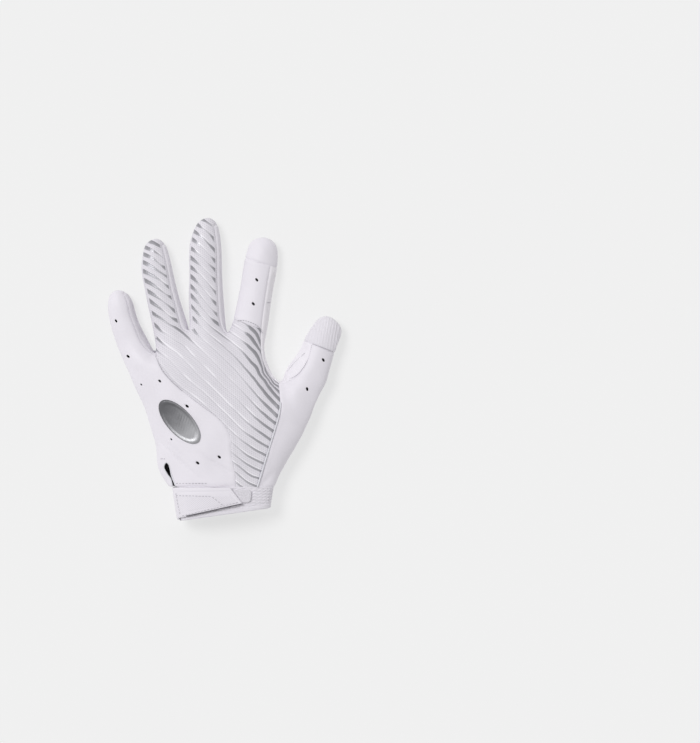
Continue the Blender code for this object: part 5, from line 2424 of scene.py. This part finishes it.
def back_panels(finishes: dict, lining: Material) -> list[ClothPanel]:
    """The panels of the glove, with their finishes and reliefs.

    Args:
        finishes: materials by name.
        lining: the material of their inner faces.

    Returns:
        The panels.
    """
    def panel(which: Panel, slot: str, finish: str, flat: tuple[float, float], cut_share: float,
              *reliefs: Relief, seam: TurnedSeam = TurnedSeam(), **cuts: tuple) -> ClothPanel:
        """A panel with turned seams under its other reliefs."""
        kind = StripedPanel if which is Panel.BACK else ClothPanel
        return kind(which, slot, finishes[finish], lining, flat, cut_share, (seam, *reliefs), **cuts)

    wrist = Fold(((176, 484), (225, 485), (270, 485)), 0.3, 1.6)
    return [
        panel(Panel.PALM, "grip_palm", "grip", (176.0, 215.0), 0.62),
        panel(Panel.SIDE, "plain_knit", "plain", (85.0, 150.0), 0.60,
              Drape(), wrist,
              Fold(((160, 441), (182, 462), (200, 478)), 0.95, 0.9),
              Fold(((162, 437), (177, 451), (190, 463)), 0.75, 0.9),
              Fold(((200, 452), (216, 463), (233, 473)), 0.95, 0.9),
              holes=SIDE_HOLES, slit=SLIT_PIXELS),
        panel(Panel.BACK, "striped_knit", "striped", (115.0, 215.0), 0.45,
              Drape(0.2), Puckers((Panel.INDEX_BACK,), 2.6, 0.12, 2.5), wrist, seam=TurnedSeam(roll=0.15)),
        panel(Panel.INDEX_BACK, "plain_knit", "plain", (23.0, 58.0), 0.95, Drape(0.15), holes=INDEX_HOLES),
        panel(Panel.INDEX_TIP, "plain_knit", "plain", (42.0, 22.0), 0.85,
              Drape(0.12, 15.0), seam=TurnedSeam(depth=0.4)),
        panel(Panel.THUMB_BACK, "plain_knit", "plain", (50.0, 118.0), 0.55,
              Drape(0.3, 27.0), wrist,
              Fold(((275, 470), (269, 478), (262, 485)), 0.8, 2.6),
              Fold(((282, 384), (287, 389), (293, 391)), 0.5, 1.5),
              holes=THUMB_HOLES),
        panel(Panel.THUMB_TIP, "rib_knit", "rib", (40.0, 30.0), 0.80,
              Ribs(-10.0, 2.1, 0.22), seam=TurnedSeam(depth=0.5)),
        panel(Panel.THUMB_GUSSET, "side_wall_mesh", "gusset", (25.0, 52.0), 0.60, Drape(0.25, 12.0)),
        # The index side wall's lighter copy is painted light; the little-ring wall's darker copy is painted
        # shade.
        panel(Panel.INDEX_SIDE, "side_wall_mesh", "painted_light_wall", (18.0, 108.0), 0.75, Drape(0.15)),
        panel(Panel.LITTLE_RING, "side_wall_mesh", "painted_shade_wall", (12.0, 140.0), 0.85),
        panel(Panel.RING_MIDDLE, "side_wall_mesh", "wall", (12.0, 165.0), 0.85),
        panel(Panel.MIDDLE_INDEX, "side_wall_mesh", "wall", (12.0, 165.0), 0.85),
    ]


STRAP_ROWS = (
    StitchRow(((176, 495), (194, 495.2), (212, 495.5))),
    StitchRow(((212.5, 495.8), (218.5, 500.4), (224, 505))),
    StitchRow(((182.5, 515.4), (203, 510.2), (224, 505.2), (239, 501.5))),
    StitchRow(((176.5, 492), (178.5, 503), (181, 514)), lift=0.05),
)
# Grey seam stitches, several rows nearly unbroken: they draw the seams' dark lines, partly stitching and
# partly painted shade.
STITCH_ROWS = (
    StitchRow(((312, 345), (311.2, 350), (308.7, 358), (305.2, 365), (300.2, 372), (296, 375.7),
               (290, 378.7), (285, 380.4)), 1.2, 0.25, 0.16, 0.05),
    StitchRow(((305, 353), (299, 358.5), (292.5, 365), (287.5, 371.5)), 1.2, 0.25, 0.16, 0.05),
    StitchRow(((237.5, 321.2), (241, 320.6), (245, 320.8), (250, 322.2), (256, 325), (260, 328.6),
               (262.4, 333.6)), 1.3, 0.6, 0.26, 0.2),
    StitchRow(((176, 483), (192, 482.8), (208, 482.8)), 1.5, 0.9, 0.2, 0.12),
    StitchRow(((312.4, 343.9), (318, 346), (325, 348.6), (333, 351.8)), 1.2, 0.2, 0.2, 0),
    StitchRow(((155.8, 354.5), (157.6, 359.5), (162.6, 369.7), (168, 376.6), (175.6, 384.2),
               (183.3, 391.1)), 1.2, 0.1, 0.2, 0),
    StitchRow(((161, 458.5), (163.5, 458.5), (166, 458.5)), 1, 0.15, 0.2, 0.2, 90),
    StitchRow(((266.3, 302.5), (268.3, 302.5), (270.3, 302.5)), 1, 0.2, 0.2, 0.2, 90),
)


def main() -> None:
    """Builds the glove's pieces in order, and the studio round them."""
    logging.basicConfig(level=logging.INFO, format="%(name)s: %(message)s")
    cage = HandCage()
    surface = GloveSurface(cage)
    # The inner faces' dark grey is painted shade.
    lining = PaintedShadeLining().make()
    finishes = {
        "plain": SmoothKnit().make(),
        "striped": StripedKnit().make(),
        "rib": RibKnit().make(),
        "wall": WallKnit().make(),
        # Darker and lighter copies of the wall knit: painted shade on the little-ring wall, painted light
        # on the index side wall.
        "painted_shade_wall": WallKnit("painted_shade_wall_knit", (0.84, 0.81, 0.87), (0.72, 0.695, 0.75)).make(),
        "painted_light_wall": WallKnit("painted_light_wall_knit", (1.0, 0.97, 1.0), (0.92, 0.89, 0.95)).make(),
        "gusset": WallKnit("gusset_mesh", (0.96, 0.93, 0.98), (0.86, 0.83, 0.89), 1.3, 0.16).make(),
        "grip": GripSilicone().make(),
    }
    panels = back_panels(finishes, lining)
    surface.at_level(3)
    panels[0].build(surface)
    surface.at_level(4)
    for panel in panels[1:]:
        panel.build(surface)
    tree = surface.tree()
    section = WristSection(surface, cage)
    cuff_knit = RibKnit("cuff_knit", along=(0.0, 1.0, 0.0), pitch=1.15).make()
    WristCuff(section).build(cuff_knit, lining)
    strap = WristStrap(section).build(StrapTwill().make(), lining)
    LoopPad(section).build(LoopPile().make())
    cord = Thread("piping_cord", pitch=0.8, roughness=0.4).make()
    SeamPiping(surface).build(cord)
    BackBadge(tree).build(BadgeFilm().make())
    SlitBinding(tree, SLIT_PIXELS[4::-1] + SLIT_PIXELS[:4:-1]).build(cord)
    # The seam thread is grey, darker than the white stitches: partly thread, partly painted shade of the
    # seam lines.
    thread = Thread("seam_thread_and_painted_shade", (0.60, 0.585, 0.63), (0.42, 0.41, 0.44)).make()
    Stitching("seam_stitches", "piping_cord", STITCH_ROWS, tree).build(thread)
    Stitching("strap_stitches", "piping_cord", STRAP_ROWS, mesh_tree(strap)).build(thread)
    Studio().build()


if __name__ == "__main__":
    main()
